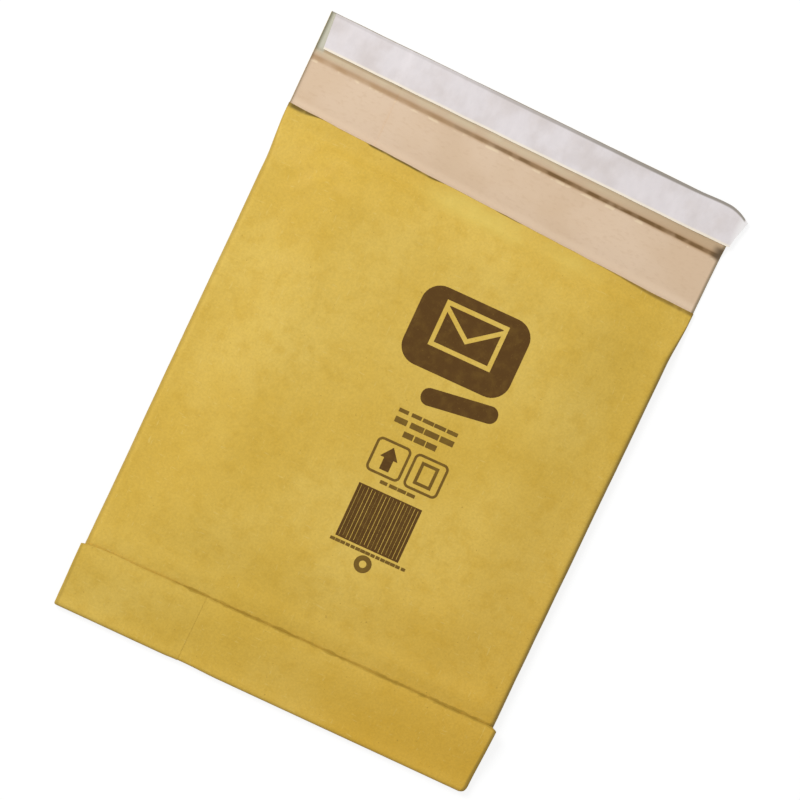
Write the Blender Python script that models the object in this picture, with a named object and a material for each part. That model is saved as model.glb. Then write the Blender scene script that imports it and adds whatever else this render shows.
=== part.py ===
"""Padded paper envelope, lying open on its back.

The bag is a tube of two paper plies with a layer of fibre padding between them. The tube is folded at both
sides, lapped and glued along the back, and turned up and glued at the bottom. Its back wall runs on past the
mouth as a flap, which carries an adhesive strip under a release liner.

Each ply is a flat blank that one set of formulas folds. A blank has a column for each station round the tube
and a row for each station along it. Units are metres. X runs across the bag, Y from the bottom fold to the
flap and Z up. The origin lies on the floor, under the middle of the pouch's back.
"""

import math
from collections import namedtuple

import bmesh
import bpy

# Tube
FLAT_WIDTH = 0.2277  # the tube pressed flat, from side fold to side fold
POUCH_LEFT = 0.2774  # bottom fold to mouth, along the left side
POUCH_RIGHT = 0.2659  # and along the right side, because the mouth is cut at a slant
ORIGIN_FROM_FOLD = 0.1380  # how far above the bottom fold the origin lies

# Plies
PAPER = 0.0002
PADDING = 0.0024
GAP = 0.00015  # room between neighbouring layers
GLUE = 0.0001
PADDING_EDGE = 0.0005  # thickness of the padding at its rim
PADDING_RAMP = 0.0140  # the length over which the padding thins out
PADDING_BELOW_MOUTH = 0.0050
PADDING_ABOVE_FOLD = 0.0010

# Pocket
WALL_CLEARANCE = 0.0010  # between the two walls at the side folds
CROWN = 0.0052  # rise of the front over its side folds
MOUTH_CROWN = 0.0058
CROWN_SHARE = 0.42  # the share of each half of the front over which it rises
CROWN_FOOT = 0.0010  # the rise starts this far above the turn-up's raw edge
CROWN_GROWTH = 0.0420  # and grows over this length

# Bottom turn-up
TURN_UP = 0.03575  # bottom fold to raw edge
TURN_UP_FLARE = 0.0008  # how far each side spreads at the raw edge
TURN_UP_GLUE_MARGIN = 0.0060

# Lap seam on the back
LAP_EDGE_X = -0.0660  # the inner web ends here
LAP_OVERLAP = 0.0200
LAP_MARGIN = 0.0040
LAP_STEP = 0.0120  # the width over which the inner web climbs on to the outer one
LAP_GLUE_MARGIN = 0.0020

# Flap, with each length at its left and at its right side
CREASE_ABOVE_MOUTH = (0.0256, 0.0311)
BAND_ABOVE_CREASE = (0.0054, 0.0061)  # from the crease to the closing tape's lower edge
TAPE_WIDTH = (0.0188, 0.0195)
CREASE_LIFT = 0.0020  # how far the end of the flap stands up past its crease
TOP_LIFT = 0.0015

# Closing tape
ADHESIVE = 0.0002
ADHESIVE_INSET = 0.0080  # from the flap's sides
ADHESIVE_MARGIN = 0.0015
LINER = 0.0002
LINER_LEFT_INSET = 0.0045
LINER_OVERHANG = 0.0060  # past the flap's right side
LINER_TOP_MARGIN = 0.0008
LINER_CORNER = 0.0128  # the length over which the liner's top edge falls to its loose corner
LINER_CORNER_DROP = 0.0060
LINER_SAG = 0.0004

# Print, a column of shapes with a bare gap above each
PRINT_TOP = 0.2275
PRINT_X = 0.0165
INK = 0.0002
BADGE_SIZE = (0.0584, 0.0420)
BADGE_RADIUS = 0.0100
CHEVRON_SIZE = (0.0340, 0.0130)
CHEVRON_WIDTH = 0.0030
BANNER_GAP = 0.0022
BANNER_SIZE = (0.0400, 0.0090)
BANNER_SHIFT = 0.0105
BANNER_TILT = math.radians(8)
TEXT_GAP = 0.0057
LINE_GAP = 0.0025
LINE_TOP_SIZE = (0.0320, 0.0020)
LINE_MIDDLE_SIZE = (0.0320, 0.0030)
LINE_BOTTOM_SIZE = (0.0180, 0.0030)
FRAME_GAP = 0.0037
FRAME_SIZE = 0.0185
FRAME_RADIUS = 0.0030
FRAME_WIDTH = 0.0009
FRAME_SPACING = 0.0020
ARROW_SIZE = (0.0095, 0.0125)
PAGE_SIZE = (0.0095, 0.0120)
PAGE_WIDTH = 0.0011
CAPTION_GAP = 0.0018
CAPTION_SIZE = (0.0190, 0.0018)
BARS_GAP = 0.0036
BARS_SIZE = (0.0344, 0.0290)
BARS_SHIFT = -0.0015
BAR_SLOTS = 9
BAR_SLOT_SHARE = 0.35  # the share of the pitch that a slot takes
BARS_RIM = 0.0014
FOOTER_GAP = 0.0012
FOOTER_SIZE = (0.0410, 0.0016)
RING_GAP = 0.0006
RING_RADIUS = 0.0045
RING_WIDTH = 0.0011
RING_STEPS = 24

# Fineness of the curves
FOLD_STEPS = 6
FLAP_FOLD_STEPS = 2  # the part of each side fold that runs on along the flap
BEND_STEPS = 8
CROWN_STEPS = 5
CROWN_ROWS = 5
BODY_ROWS = 3
CORNER_STEPS = 5

# Worked out from the sizes above
PLIES = 2 * PAPER + GAP
LIFT = PADDING + GAP
LAP_GAP = 2 * GAP + GLUE
LAP_BASE = PLIES + LAP_GAP
FLAT_THICKNESS = LAP_BASE + PLIES + GAP + PLIES
PADDED_THICKNESS = 2 * (PLIES + LIFT) + WALL_CLEARANCE
GIRTH = 2 * FLAT_WIDTH + (math.pi - 2) * FLAT_THICKNESS
BEND_AXIS = FLAT_THICKNESS + (2 * GAP + GLUE) / 2
RIM_FILL = (GAP + PADDING_EDGE) / LIFT
MOUTH = (POUCH_LEFT, POUCH_RIGHT)
CREASE = tuple(below + rise for below, rise in zip(MOUTH, CREASE_ABOVE_MOUTH))
TAPE_LOWER = tuple(below + rise for below, rise in zip(CREASE, BAND_ABOVE_CREASE))
FLAP_TOP = tuple(below + rise for below, rise in zip(TAPE_LOWER, TAPE_WIDTH))
PADDING_FOOT = BEND_AXIS + PADDING_ABOVE_FOLD
OUTER_WEB_END_X = LAP_EDGE_X + LAP_OVERLAP
FRONT_TOP = PADDED_THICKNESS + CROWN

Station = namedtuple("Station", "zone at")
Row = namedtuple("Row", "zone at fill crown base")


def smooth(share):
    """Ease a share from 0 to 1, level at both ends."""
    share = min(max(share, 0), 1)
    return share * share * (3 - 2 * share)


def mixed(low, high, share):
    return low + (high - low) * share


def linear(red, green, blue):
    """A colour from 0-255 display values."""
    return tuple((channel / 255) ** 2.2 for channel in (red, green, blue))


# Stations round the tube


def fold_angles():
    return [math.pi * step / FOLD_STEPS for step in range(FOLD_STEPS + 1)]


def front_shares():
    """Places across the front as shares of its half width, without its two ends."""
    rising = [1 - CROWN_SHARE * step / CROWN_STEPS for step in range(1, CROWN_STEPS + 1)]
    return [-share for share in rising] + [0] + rising[::-1]


def left_web_x():
    """Places on the outer web that shape it, from the lap towards the left side fold."""
    start = LAP_EDGE_X - LAP_MARGIN
    return [OUTER_WEB_END_X, start, start - RIM_FILL * PADDING_RAMP, start - PADDING_RAMP]


def right_web_x():
    """Places on the inner web, from the right side fold towards the lap."""
    foot = OUTER_WEB_END_X + LAP_MARGIN + LAP_STEP
    start = foot + LAP_MARGIN
    return [
        start + PADDING_RAMP,
        start + RIM_FILL * PADDING_RAMP,
        start,
        foot,
        foot - LAP_STEP,
        LAP_EDGE_X,
    ]


def middle_stations():
    left = [Station("left_fold", angle) for angle in fold_angles()]
    front = [Station("front", share) for share in front_shares()]
    right = [Station("right_fold", angle) for angle in reversed(fold_angles())]
    return left + front + right


def sheet_stations():
    left = [Station("left_web", x) for x in left_web_x()]
    right = [Station("right_web", x) for x in right_web_x()]
    return left + middle_stations() + right


def padding_stations():
    left = [Station("left_web", x) for x in left_web_x()[2:]]
    right = [Station("right_web", x) for x in right_web_x()[:2]]
    return left + middle_stations() + right


def runs_on_as_flap(station):
    """Whether the paper at a station runs on past the mouth."""
    last_angle = fold_angles()[FLAP_FOLD_STEPS]
    on_fold = station.zone.endswith("fold") and station.at <= last_angle
    return station.zone.endswith("web") or on_fold


# Rows along the tube


def line(low, high, share):
    """A slanted row between two others, as its left and right ends."""
    return tuple(mixed(below, above, share) for below, above in zip(low, high))


def body_rows():
    """Rows from the foot of the padding's ramp, under the turn-up, to the mouth."""
    rows = []
    for fill in (0, RIM_FILL, 1):
        y = PADDING_FOOT + fill * PADDING_RAMP
        rows.append(Row("body", (y, y), fill, 0, 0))
    foot = TURN_UP + CROWN_FOOT
    grown = foot + CROWN_GROWTH
    for step in range(CROWN_ROWS + 1):
        share = step / CROWN_ROWS
        y = mixed(foot, grown, share)
        rows.append(Row("body", (y, y), 1, smooth(share), 0))
    top_ramp = [end - PADDING_BELOW_MOUTH - PADDING_RAMP for end in MOUTH]
    for step in range(1, BODY_ROWS + 1):
        ends = line((grown, grown), top_ramp, step / BODY_ROWS)
        rows.append(Row("body", ends, 1, 1, 0))
    for fill in (RIM_FILL, 0):
        ends = tuple(end - PADDING_BELOW_MOUTH - fill * PADDING_RAMP for end in MOUTH)
        rows.append(Row("body", ends, fill, 1, 0))
    rows.append(Row("body", MOUTH, 0, 1, 0))
    return rows


def turn_up_rows():
    """Rows from the raw edge of the turn-up, down over the padded front and round the bottom fold."""
    climb = PADDED_THICKNESS - FLAT_THICKNESS
    rows = [Row("leg", TURN_UP, 0, 0, climb)]
    for share in (1, 0):
        rows.append(Row("leg", PADDING_FOOT + share * PADDING_RAMP, 0, 0, share * climb))
    for step in range(BEND_STEPS, -1, -1):
        rows.append(Row("bend", math.pi * step / BEND_STEPS, 0, 0, 0))
    return rows


def flap_rows():
    rows = [Row("body", CREASE, 0, 1, 0)]
    rows.append(Row("body", TAPE_LOWER, 0, 1, CREASE_LIFT))
    rows.append(Row("body", FLAP_TOP, 0, 1, TOP_LIFT))
    return rows


def sheet_rows():
    return turn_up_rows() + body_rows() + flap_rows()


def padding_rows():
    return [row for row in body_rows() if row.fill >= RIM_FILL]


# Folding


def row_thickness(row):
    return mixed(FLAT_THICKNESS, PADDED_THICKNESS, row.fill)


def side_of(row):
    """Distance from the middle of the tube to the centre of its side folds."""
    thickness = row_thickness(row)
    half_width = (GIRTH - (math.pi - 2) * thickness) / 4
    if row.zone == "leg":
        half_width += TURN_UP_FLARE * row.at / TURN_UP
    return half_width - thickness / 2


def lift_at(row, station):
    """How far the padding holds the plies apart."""
    web_fill = 1
    if station.zone == "left_web":
        web_fill = (LAP_EDGE_X - LAP_MARGIN - station.at) / PADDING_RAMP
    if station.zone == "right_web":
        web_fill = (station.at - right_web_x()[2]) / PADDING_RAMP
    return LIFT * min(row.fill, max(0, min(web_fill, 1)))


def web_base(station):
    """Height of a web's outer face over the floor: the inner web climbs on to the outer one."""
    if station.zone == "right_web" and station.at <= OUTER_WEB_END_X + LAP_MARGIN:
        return LAP_BASE
    return 0


def crown_at(row, share):
    rise = MOUTH_CROWN if row.fill < RIM_FILL else CROWN
    return rise * row.crown * smooth((1 - abs(share)) / CROWN_SHARE)


def section(row, station, depth):
    """The place across the tube and the height of a point that lies at a depth under its outer face."""
    thickness = row_thickness(row)
    radius = thickness / 2
    side = side_of(row)
    if station.zone.endswith("web"):
        return station.at, web_base(station) + depth
    if station.zone == "front":
        return station.at * side, thickness + crown_at(row, station.at) - depth
    hand = -1 if station.zone == "left_fold" else 1
    inner = radius - depth
    return hand * (side + inner * math.sin(station.at)), radius - inner * math.cos(station.at)


def slanted(ends, x):
    """Distance of a slanted line above the bottom fold at a place across the bag."""
    return mixed(ends[0], ends[1], x / FLAT_WIDTH + 0.5)


def laid(row, x, height):
    """A point of the flat tube, moved to its place along the bag."""
    if row.zone == "leg":
        return x, row.at, row.base + 2 * BEND_AXIS - height
    if row.zone == "bend":
        radius = BEND_AXIS - height
        return x, BEND_AXIS - radius * math.sin(row.at), BEND_AXIS - radius * math.cos(row.at)
    return x, slanted(row.at, x), row.base + height


def slab(name, columns, rows, wanted, place):
    """A flat grid of one cell between neighbouring columns and rows, made a solid and moved into shape.

    wanted(column, row) says whether a cell is part of the blank, and place(column, row, face) gives the
    point where a corner of the cell's lower (0) or upper (1) face goes.
    """
    mesh = bpy.data.meshes.new(name)
    bm = bmesh.new()
    bmesh.ops.create_grid(bm, x_segments=columns, y_segments=rows, size=0.5)
    for vertex in bm.verts:
        vertex.co.x = round((vertex.co.x + 0.5) * columns)
        vertex.co.y = round((vertex.co.y + 0.5) * rows)
    spare = []
    for face in bm.faces:
        middle = face.calc_center_median()
        if not wanted(int(middle.x), int(middle.y)):
            spare.append(face)
    bmesh.ops.delete(bm, geom=spare, context="FACES")
    raised = bmesh.ops.extrude_face_region(bm, geom=bm.faces[:])["geom"]
    for part in raised:
        if isinstance(part, bmesh.types.BMVert):
            part.co.z = 1
    for vertex in bm.verts:
        vertex.co = place(round(vertex.co.x), round(vertex.co.y), round(vertex.co.z))
    bmesh.ops.recalc_face_normals(bm, faces=bm.faces[:])
    bm.to_mesh(mesh)
    bm.free()
    mesh.shade_smooth()
    mesh.set_sharp_from_angle(angle=math.radians(40))
    return bpy.data.objects.new(name, mesh)


def rounded_outline(size, radius):
    """A rectangle with round corners about its own middle, anticlockwise."""
    points = []
    for quarter, (right, up) in enumerate(((1, 1), (-1, 1), (-1, -1), (1, -1))):
        centre_x = right * (size[0] / 2 - radius)
        centre_y = up * (size[1] / 2 - radius)
        for step in range(CORNER_STEPS + 1):
            angle = math.pi / 2 * (quarter + step / CORNER_STEPS)
            points.append((centre_x + radius * math.cos(angle), centre_y + radius * math.sin(angle)))
    return points


def ring_outline(radius):
    turns = [2 * math.pi * step / RING_STEPS for step in range(RING_STEPS)]
    return [(radius * math.cos(turn), radius * math.sin(turn)) for turn in turns]


def box_outline(size, at=(0, 0)):
    half_x, half_y = size[0] / 2, size[1] / 2
    corners = ((-half_x, -half_y), (half_x, -half_y), (half_x, half_y), (-half_x, half_y))
    return [(at[0] + x, at[1] + y) for x, y in corners]


def print_heights():
    """The height of each print shape's middle above the bottom fold, worked down the column."""
    tilted = BANNER_SIZE[0] * math.sin(BANNER_TILT) + BANNER_SIZE[1] * math.cos(BANNER_TILT)
    column = (
        ("badge", 0, BADGE_SIZE[1]),
        ("banner", BANNER_GAP, tilted),
        ("line_top", TEXT_GAP, LINE_TOP_SIZE[1]),
        ("line_middle", LINE_GAP, LINE_MIDDLE_SIZE[1]),
        ("line_bottom", LINE_GAP, LINE_BOTTOM_SIZE[1]),
        ("frames", FRAME_GAP, FRAME_SIZE),
        ("caption", CAPTION_GAP, CAPTION_SIZE[1]),
        ("bars", BARS_GAP, BARS_SIZE[1]),
        ("footer", FOOTER_GAP, FOOTER_SIZE[1]),
        ("ring", RING_GAP, 2 * RING_RADIUS),
    )
    heights = {}
    top = PRINT_TOP
    for name, gap, size in column:
        heights[name] = top - gap - size / 2
        top -= gap + size
    return heights


def plate(name, outlines, at, tilt=0):
    """A flat field of ink on the front of the bag. Outlines inside the first one are holes."""
    curve = bpy.data.curves.new(name, "CURVE")
    curve.dimensions = "2D"
    curve.fill_mode = "BOTH"
    curve.extrude = INK / 2
    for outline in outlines:
        spline = curve.splines.new("POLY")
        spline.points.add(len(outline) - 1)
        for point, (x, y) in zip(spline.points, outline):
            point.co = (x, y, 0, 1)
        spline.use_cyclic_u = True
    shape = bpy.data.objects.new(name, curve)
    shape.location = (at[0], at[1], FRONT_TOP + GAP + INK / 2)
    shape.rotation_euler.z = tilt
    return shape


# Pieces


def sheet(name, outer_depth):
    """One paper ply, round the whole tube and on along the flap."""
    stations = sheet_stations()
    rows = sheet_rows()
    mouth_row = len(rows) - len(flap_rows()) - 1

    def wanted(column, row):
        both = runs_on_as_flap(stations[column]) and runs_on_as_flap(stations[column + 1])
        return row < mouth_row or both

    def place(column, row, face):
        depth = outer_depth(rows[row], stations[column]) + PAPER * face
        return laid(rows[row], *section(rows[row], stations[column], depth))

    return slab(name, len(stations) - 1, len(rows) - 1, wanted, place)


def outer_sheet():
    return sheet("outer_sheet", lambda row, station: 0)


def inner_sheet():
    return sheet("inner_sheet", lambda row, station: PAPER + GAP + lift_at(row, station))


def fibre_padding():
    stations = padding_stations()
    rows = padding_rows()

    def place(column, row, face):
        thickness = lift_at(rows[row], stations[column]) - GAP
        depth = PAPER + GAP + thickness * face
        return laid(rows[row], *section(rows[row], stations[column], depth))

    return slab("fibre_padding", len(stations) - 1, len(rows) - 1, lambda column, row: True, place)


def lap_seam_glue():
    """The line of glue between the two lapped webs, along the whole tube and the flap."""
    rows = sheet_rows()
    across = (LAP_EDGE_X + LAP_GLUE_MARGIN, OUTER_WEB_END_X - LAP_GLUE_MARGIN)

    def place(column, row, face):
        return laid(rows[row], across[column], PLIES + GAP + GLUE * face)

    return slab("lap_seam_glue", 1, len(rows) - 1, lambda column, row: True, place)


def turn_up_glue():
    """The layer of glue between the turn-up and the front of the tube."""
    across = FLAT_WIDTH / 2 - TURN_UP_GLUE_MARGIN
    along = (PADDING_FOOT + PADDING_RAMP, TURN_UP - TURN_UP_GLUE_MARGIN)

    def place(column, row, face):
        return mixed(-across, across, column), along[row], PADDED_THICKNESS + GAP + GLUE * face

    return slab("turn_up_glue", 1, 1, lambda column, row: True, place)


def flap_height(x, ends_share):
    """Height of the flap's inner face in the tape zone, over the hump of the lap seam."""
    foot = LAP_EDGE_X - LAP_MARGIN
    climb = LAP_EDGE_X - LAP_MARGIN / 2
    level = OUTER_WEB_END_X + LAP_MARGIN
    end = level + LAP_STEP
    hump = min(max((x - foot) / (climb - foot), 0), 1) * min(max((end - x) / (end - level), 0), 1)
    return mixed(CREASE_LIFT, TOP_LIFT, ends_share) + PLIES + LAP_BASE * hump


def tape_columns(left, right, *extra):
    foot = LAP_EDGE_X - LAP_MARGIN
    climb = LAP_EDGE_X - LAP_MARGIN / 2
    level = OUTER_WEB_END_X + LAP_MARGIN
    return [left, foot, climb, level, level + LAP_STEP, *extra, right]


def flap_adhesive():
    reach = FLAT_WIDTH / 2 - ADHESIVE_INSET
    columns = tape_columns(-reach, reach)

    def place(column, row, face):
        x = columns[column]
        low = slanted(TAPE_LOWER, x) + ADHESIVE_MARGIN
        high = slanted(FLAP_TOP, x) - LINER_TOP_MARGIN - ADHESIVE_MARGIN
        return x, mixed(low, high, row), flap_height(x, row) + GAP + ADHESIVE * face

    return slab("flap_adhesive", len(columns) - 1, 1, lambda column, row: True, place)


def release_liner():
    """The paper strip over the adhesive. It overhangs the flap at the right, where its corner falls."""
    right = FLAT_WIDTH / 2 + LINER_OVERHANG
    falls_from = right - LINER_CORNER
    edge = right - LINER_CORNER / 5
    columns = tape_columns(LINER_LEFT_INSET - FLAT_WIDTH / 2, right, falls_from, edge)

    def place(column, row, face):
        x = columns[column]
        past = max(0, (x - falls_from) / LINER_CORNER)
        low = slanted(TAPE_LOWER, x)
        high = slanted(FLAP_TOP, x) - LINER_TOP_MARGIN - LINER_CORNER_DROP * past * past
        clear = GAP + ADHESIVE + GAP
        height = flap_height(x, row) + clear - LINER_SAG * past**4
        return x, mixed(low, high, row), height + LINER * face

    return slab("release_liner", len(columns) - 1, 1, lambda column, row: True, place)


def print_badge():
    """A plain badge with a chevron and a line left bare, as on an envelope sign."""
    half, drop = CHEVRON_SIZE[0] / 2, CHEVRON_SIZE[1]
    top = BADGE_SIZE[1] / 2 - drop / 2
    upper = [(-half, top), (0, top - drop), (half, top)]
    lower = [(half, top - CHEVRON_WIDTH), (0, top - drop - CHEVRON_WIDTH), (-half, top - CHEVRON_WIDTH)]
    line_y = top - drop - 3 * CHEVRON_WIDTH
    bare_line = box_outline((CHEVRON_SIZE[0], CHEVRON_WIDTH), (0, line_y))
    outlines = [rounded_outline(BADGE_SIZE, BADGE_RADIUS), upper + lower, bare_line]
    return plate("print_badge", outlines, (PRINT_X, print_heights()["badge"]))


def print_banner():
    outline = rounded_outline(BANNER_SIZE, BANNER_SIZE[1] / 3)
    at = (PRINT_X + BANNER_SHIFT, print_heights()["banner"])
    return plate("print_banner", [outline], at, BANNER_TILT)


def print_frames():
    """Two square frames, each round a simple sign: an arrow and a page."""
    inside = FRAME_SIZE - 2 * FRAME_WIDTH
    frame = [
        rounded_outline((FRAME_SIZE, FRAME_SIZE), FRAME_RADIUS),
        rounded_outline((inside, inside), FRAME_RADIUS - FRAME_WIDTH),
    ]
    half_x, half_y = ARROW_SIZE[0] / 2, ARROW_SIZE[1] / 2
    shaft = half_x / 3
    right_side = [(shaft, -half_y), (shaft, 0), (half_x, 0)]
    left_side = [(-x, y) for x, y in reversed(right_side)]
    arrow = right_side + [(0, half_y)] + left_side
    hollow = (PAGE_SIZE[0] - 2 * PAGE_WIDTH, PAGE_SIZE[1] - 2 * PAGE_WIDTH)
    aside = (FRAME_SIZE + FRAME_SPACING) / 2
    left = (PRINT_X - aside, print_heights()["frames"])
    right = (PRINT_X + aside, print_heights()["frames"])
    return [
        plate("print_frame_left", frame, left),
        plate("print_frame_right", frame, right),
        plate("print_arrow", [arrow], left),
        plate("print_page", [box_outline(PAGE_SIZE), box_outline(hollow)], right),
    ]


def print_bars():
    """A block of upright bars, with bare slots between them."""
    width = BARS_SIZE[0] - 2 * BARS_RIM
    pitch = width / BAR_SLOTS
    slot = (pitch * BAR_SLOT_SHARE, BARS_SIZE[1] - 2 * BARS_RIM)
    slots = [box_outline(slot, (-width / 2 + pitch * (index + 0.5), 0)) for index in range(BAR_SLOTS)]
    at = (PRINT_X + BARS_SHIFT, print_heights()["bars"])
    return plate("print_bars", [box_outline(BARS_SIZE)] + slots, at)


def print_ring():
    outlines = [ring_outline(RING_RADIUS), ring_outline(RING_RADIUS - RING_WIDTH)]
    return plate("print_ring", outlines, (PRINT_X, print_heights()["ring"]))


def print_text_bars():
    """Plain bars in the places of the lines of text."""
    sizes = {
        "line_top": LINE_TOP_SIZE,
        "line_middle": LINE_MIDDLE_SIZE,
        "line_bottom": LINE_BOTTOM_SIZE,
        "caption": CAPTION_SIZE,
        "footer": FOOTER_SIZE,
    }
    heights = print_heights()
    bars = []
    for name, size in sizes.items():
        bars.append(plate(f"print_{name}", [box_outline(size)], (PRINT_X, heights[name])))
    return bars


# Materials


def finish(piece, colour, roughness):
    """Give a piece its own material."""
    material = bpy.data.materials.new(piece.name)
    material.use_nodes = True
    shader = material.node_tree.nodes["Principled BSDF"]
    shader.inputs["Base Color"].default_value = (*linear(*colour), 1)
    shader.inputs["Roughness"].default_value = roughness
    shader.inputs["Metallic"].default_value = 0
    piece.data.materials.append(material)


GOLD_KRAFT = (213, 176, 79)
BEIGE_KRAFT = (220, 194, 166)
GREY_FIBRE = (176, 166, 150)
CLEAR_GLUE = (222, 208, 170)
TAPE_GLUE = (214, 200, 172)
WHITE_LINER = (227, 221, 220)
BROWN_INK = (90, 65, 35)


def main():
    for piece in list(bpy.data.objects):
        bpy.data.objects.remove(piece)
    collection = bpy.data.collections.new("padded_envelope")
    bpy.context.scene.collection.children.link(collection)
    datum = bpy.data.objects.new("bottom_fold", None)
    datum.location.y = -ORIGIN_FROM_FOLD
    collection.objects.link(datum)
    dressed = [
        (outer_sheet(), GOLD_KRAFT, 0.75),
        (inner_sheet(), BEIGE_KRAFT, 0.85),
        (fibre_padding(), GREY_FIBRE, 0.95),
        (lap_seam_glue(), CLEAR_GLUE, 0.4),
        (turn_up_glue(), CLEAR_GLUE, 0.4),
        (flap_adhesive(), TAPE_GLUE, 0.3),
        (release_liner(), WHITE_LINER, 0.45),
    ]
    prints = [print_badge(), print_banner(), print_bars(), print_ring()]
    for ink in prints + print_frames() + print_text_bars():
        dressed.append((ink, BROWN_INK, 0.6))
    for piece, colour, roughness in dressed:
        piece.parent = datum
        collection.objects.link(piece)
        finish(piece, colour, roughness)


main()
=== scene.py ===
"""Looks of an open padded paper mailing bag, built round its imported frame.

The bag is a tube of two paper plies with fibre padding between them. Each ply is a flat blank of fine cells
that one set of formulas folds, as the solids are folded, with the paper's own unevenness on top. The closing
tape lies on the flap, and the print lies on the front as a film of ink. Units are metres. Distances called
"above the fold" are measured along the bag from its bottom fold.
"""

import logging
import math
from contextlib import contextmanager
from dataclasses import dataclass, field
from enum import Enum
from functools import cached_property, reduce
from typing import Callable, Iterator, Optional, Sequence, Union

import bpy
from mathutils import Matrix, Vector, noise


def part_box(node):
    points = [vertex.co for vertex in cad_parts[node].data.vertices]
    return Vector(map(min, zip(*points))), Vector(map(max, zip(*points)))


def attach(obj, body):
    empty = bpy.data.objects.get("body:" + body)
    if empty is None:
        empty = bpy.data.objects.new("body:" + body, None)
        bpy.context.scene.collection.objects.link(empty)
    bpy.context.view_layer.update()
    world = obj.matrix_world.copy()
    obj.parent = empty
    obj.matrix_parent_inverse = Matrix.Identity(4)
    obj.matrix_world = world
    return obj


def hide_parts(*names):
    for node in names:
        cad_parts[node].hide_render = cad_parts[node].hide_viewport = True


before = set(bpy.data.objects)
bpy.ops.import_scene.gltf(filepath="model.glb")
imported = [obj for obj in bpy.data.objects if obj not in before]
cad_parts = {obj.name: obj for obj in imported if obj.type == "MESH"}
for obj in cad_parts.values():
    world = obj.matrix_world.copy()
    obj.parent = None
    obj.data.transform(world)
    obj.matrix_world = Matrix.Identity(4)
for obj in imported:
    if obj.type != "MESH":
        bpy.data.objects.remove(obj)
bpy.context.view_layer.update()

LOG = logging.getLogger("mailing_bag")
BODY = "root"
SHEET_MAP = "sheet"
Ends = tuple[float, float]
Point = tuple[float, float]
Triple = tuple[float, float, float]
Span = tuple[float, float, float, float]
Colour = tuple[int, int, int]
Outline = list[Point]
Piece = bpy.types.Object
Socket = bpy.types.NodeSocket
Value = Union[Socket, float]


class Run(Enum):
    """Where a row of a blank lies along the tube."""

    LEG = "turned-up leg"
    BEND = "bottom fold"
    POUCH = "pouch"
    FLAP = "flap"


class Wall(Enum):
    """Where a column of a blank lies round the tube."""

    WEB = "back web"
    FOLD = "side fold"
    FRONT = "front"


class Blank(Enum):
    """The blanks that the bag is folded from."""

    OUTER = "outer ply"
    INNER = "inner ply"
    PADDING = "padding"


# Small sums


def smooth(share: float) -> float:
    """Ease a share from 0 to 1, level at both ends."""
    share = min(max(share, 0.0), 1.0)
    return share * share * (3 - 2 * share)


def mixed(low: float, high: float, share: float) -> float:
    """Return the value a share of the way from low to high."""
    return low + (high - low) * share


def bell(distance: float, width: float) -> float:
    """Return a soft hump that is 1 at no distance and nearly 0 past twice its width."""
    return math.exp(-((distance / width) ** 2))


def waves(x: float, y: float, length: float, seed: float) -> float:
    """Return smooth noise between -1 and 1, with waves of a rough length, in a seed's pattern."""
    return noise.noise(Vector((x / length + 7.3 * seed, y / length - 3.1 * seed, 1.7 * seed)))


def steps(low: float, high: float, cell: float) -> list[float]:
    """Return evenly spaced values from low to high, both included, no further apart than a cell."""
    count = max(1, math.ceil(abs(high - low) / cell - 1e-6))
    return [mixed(low, high, step / count) for step in range(count + 1)]


# Sizes


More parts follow.
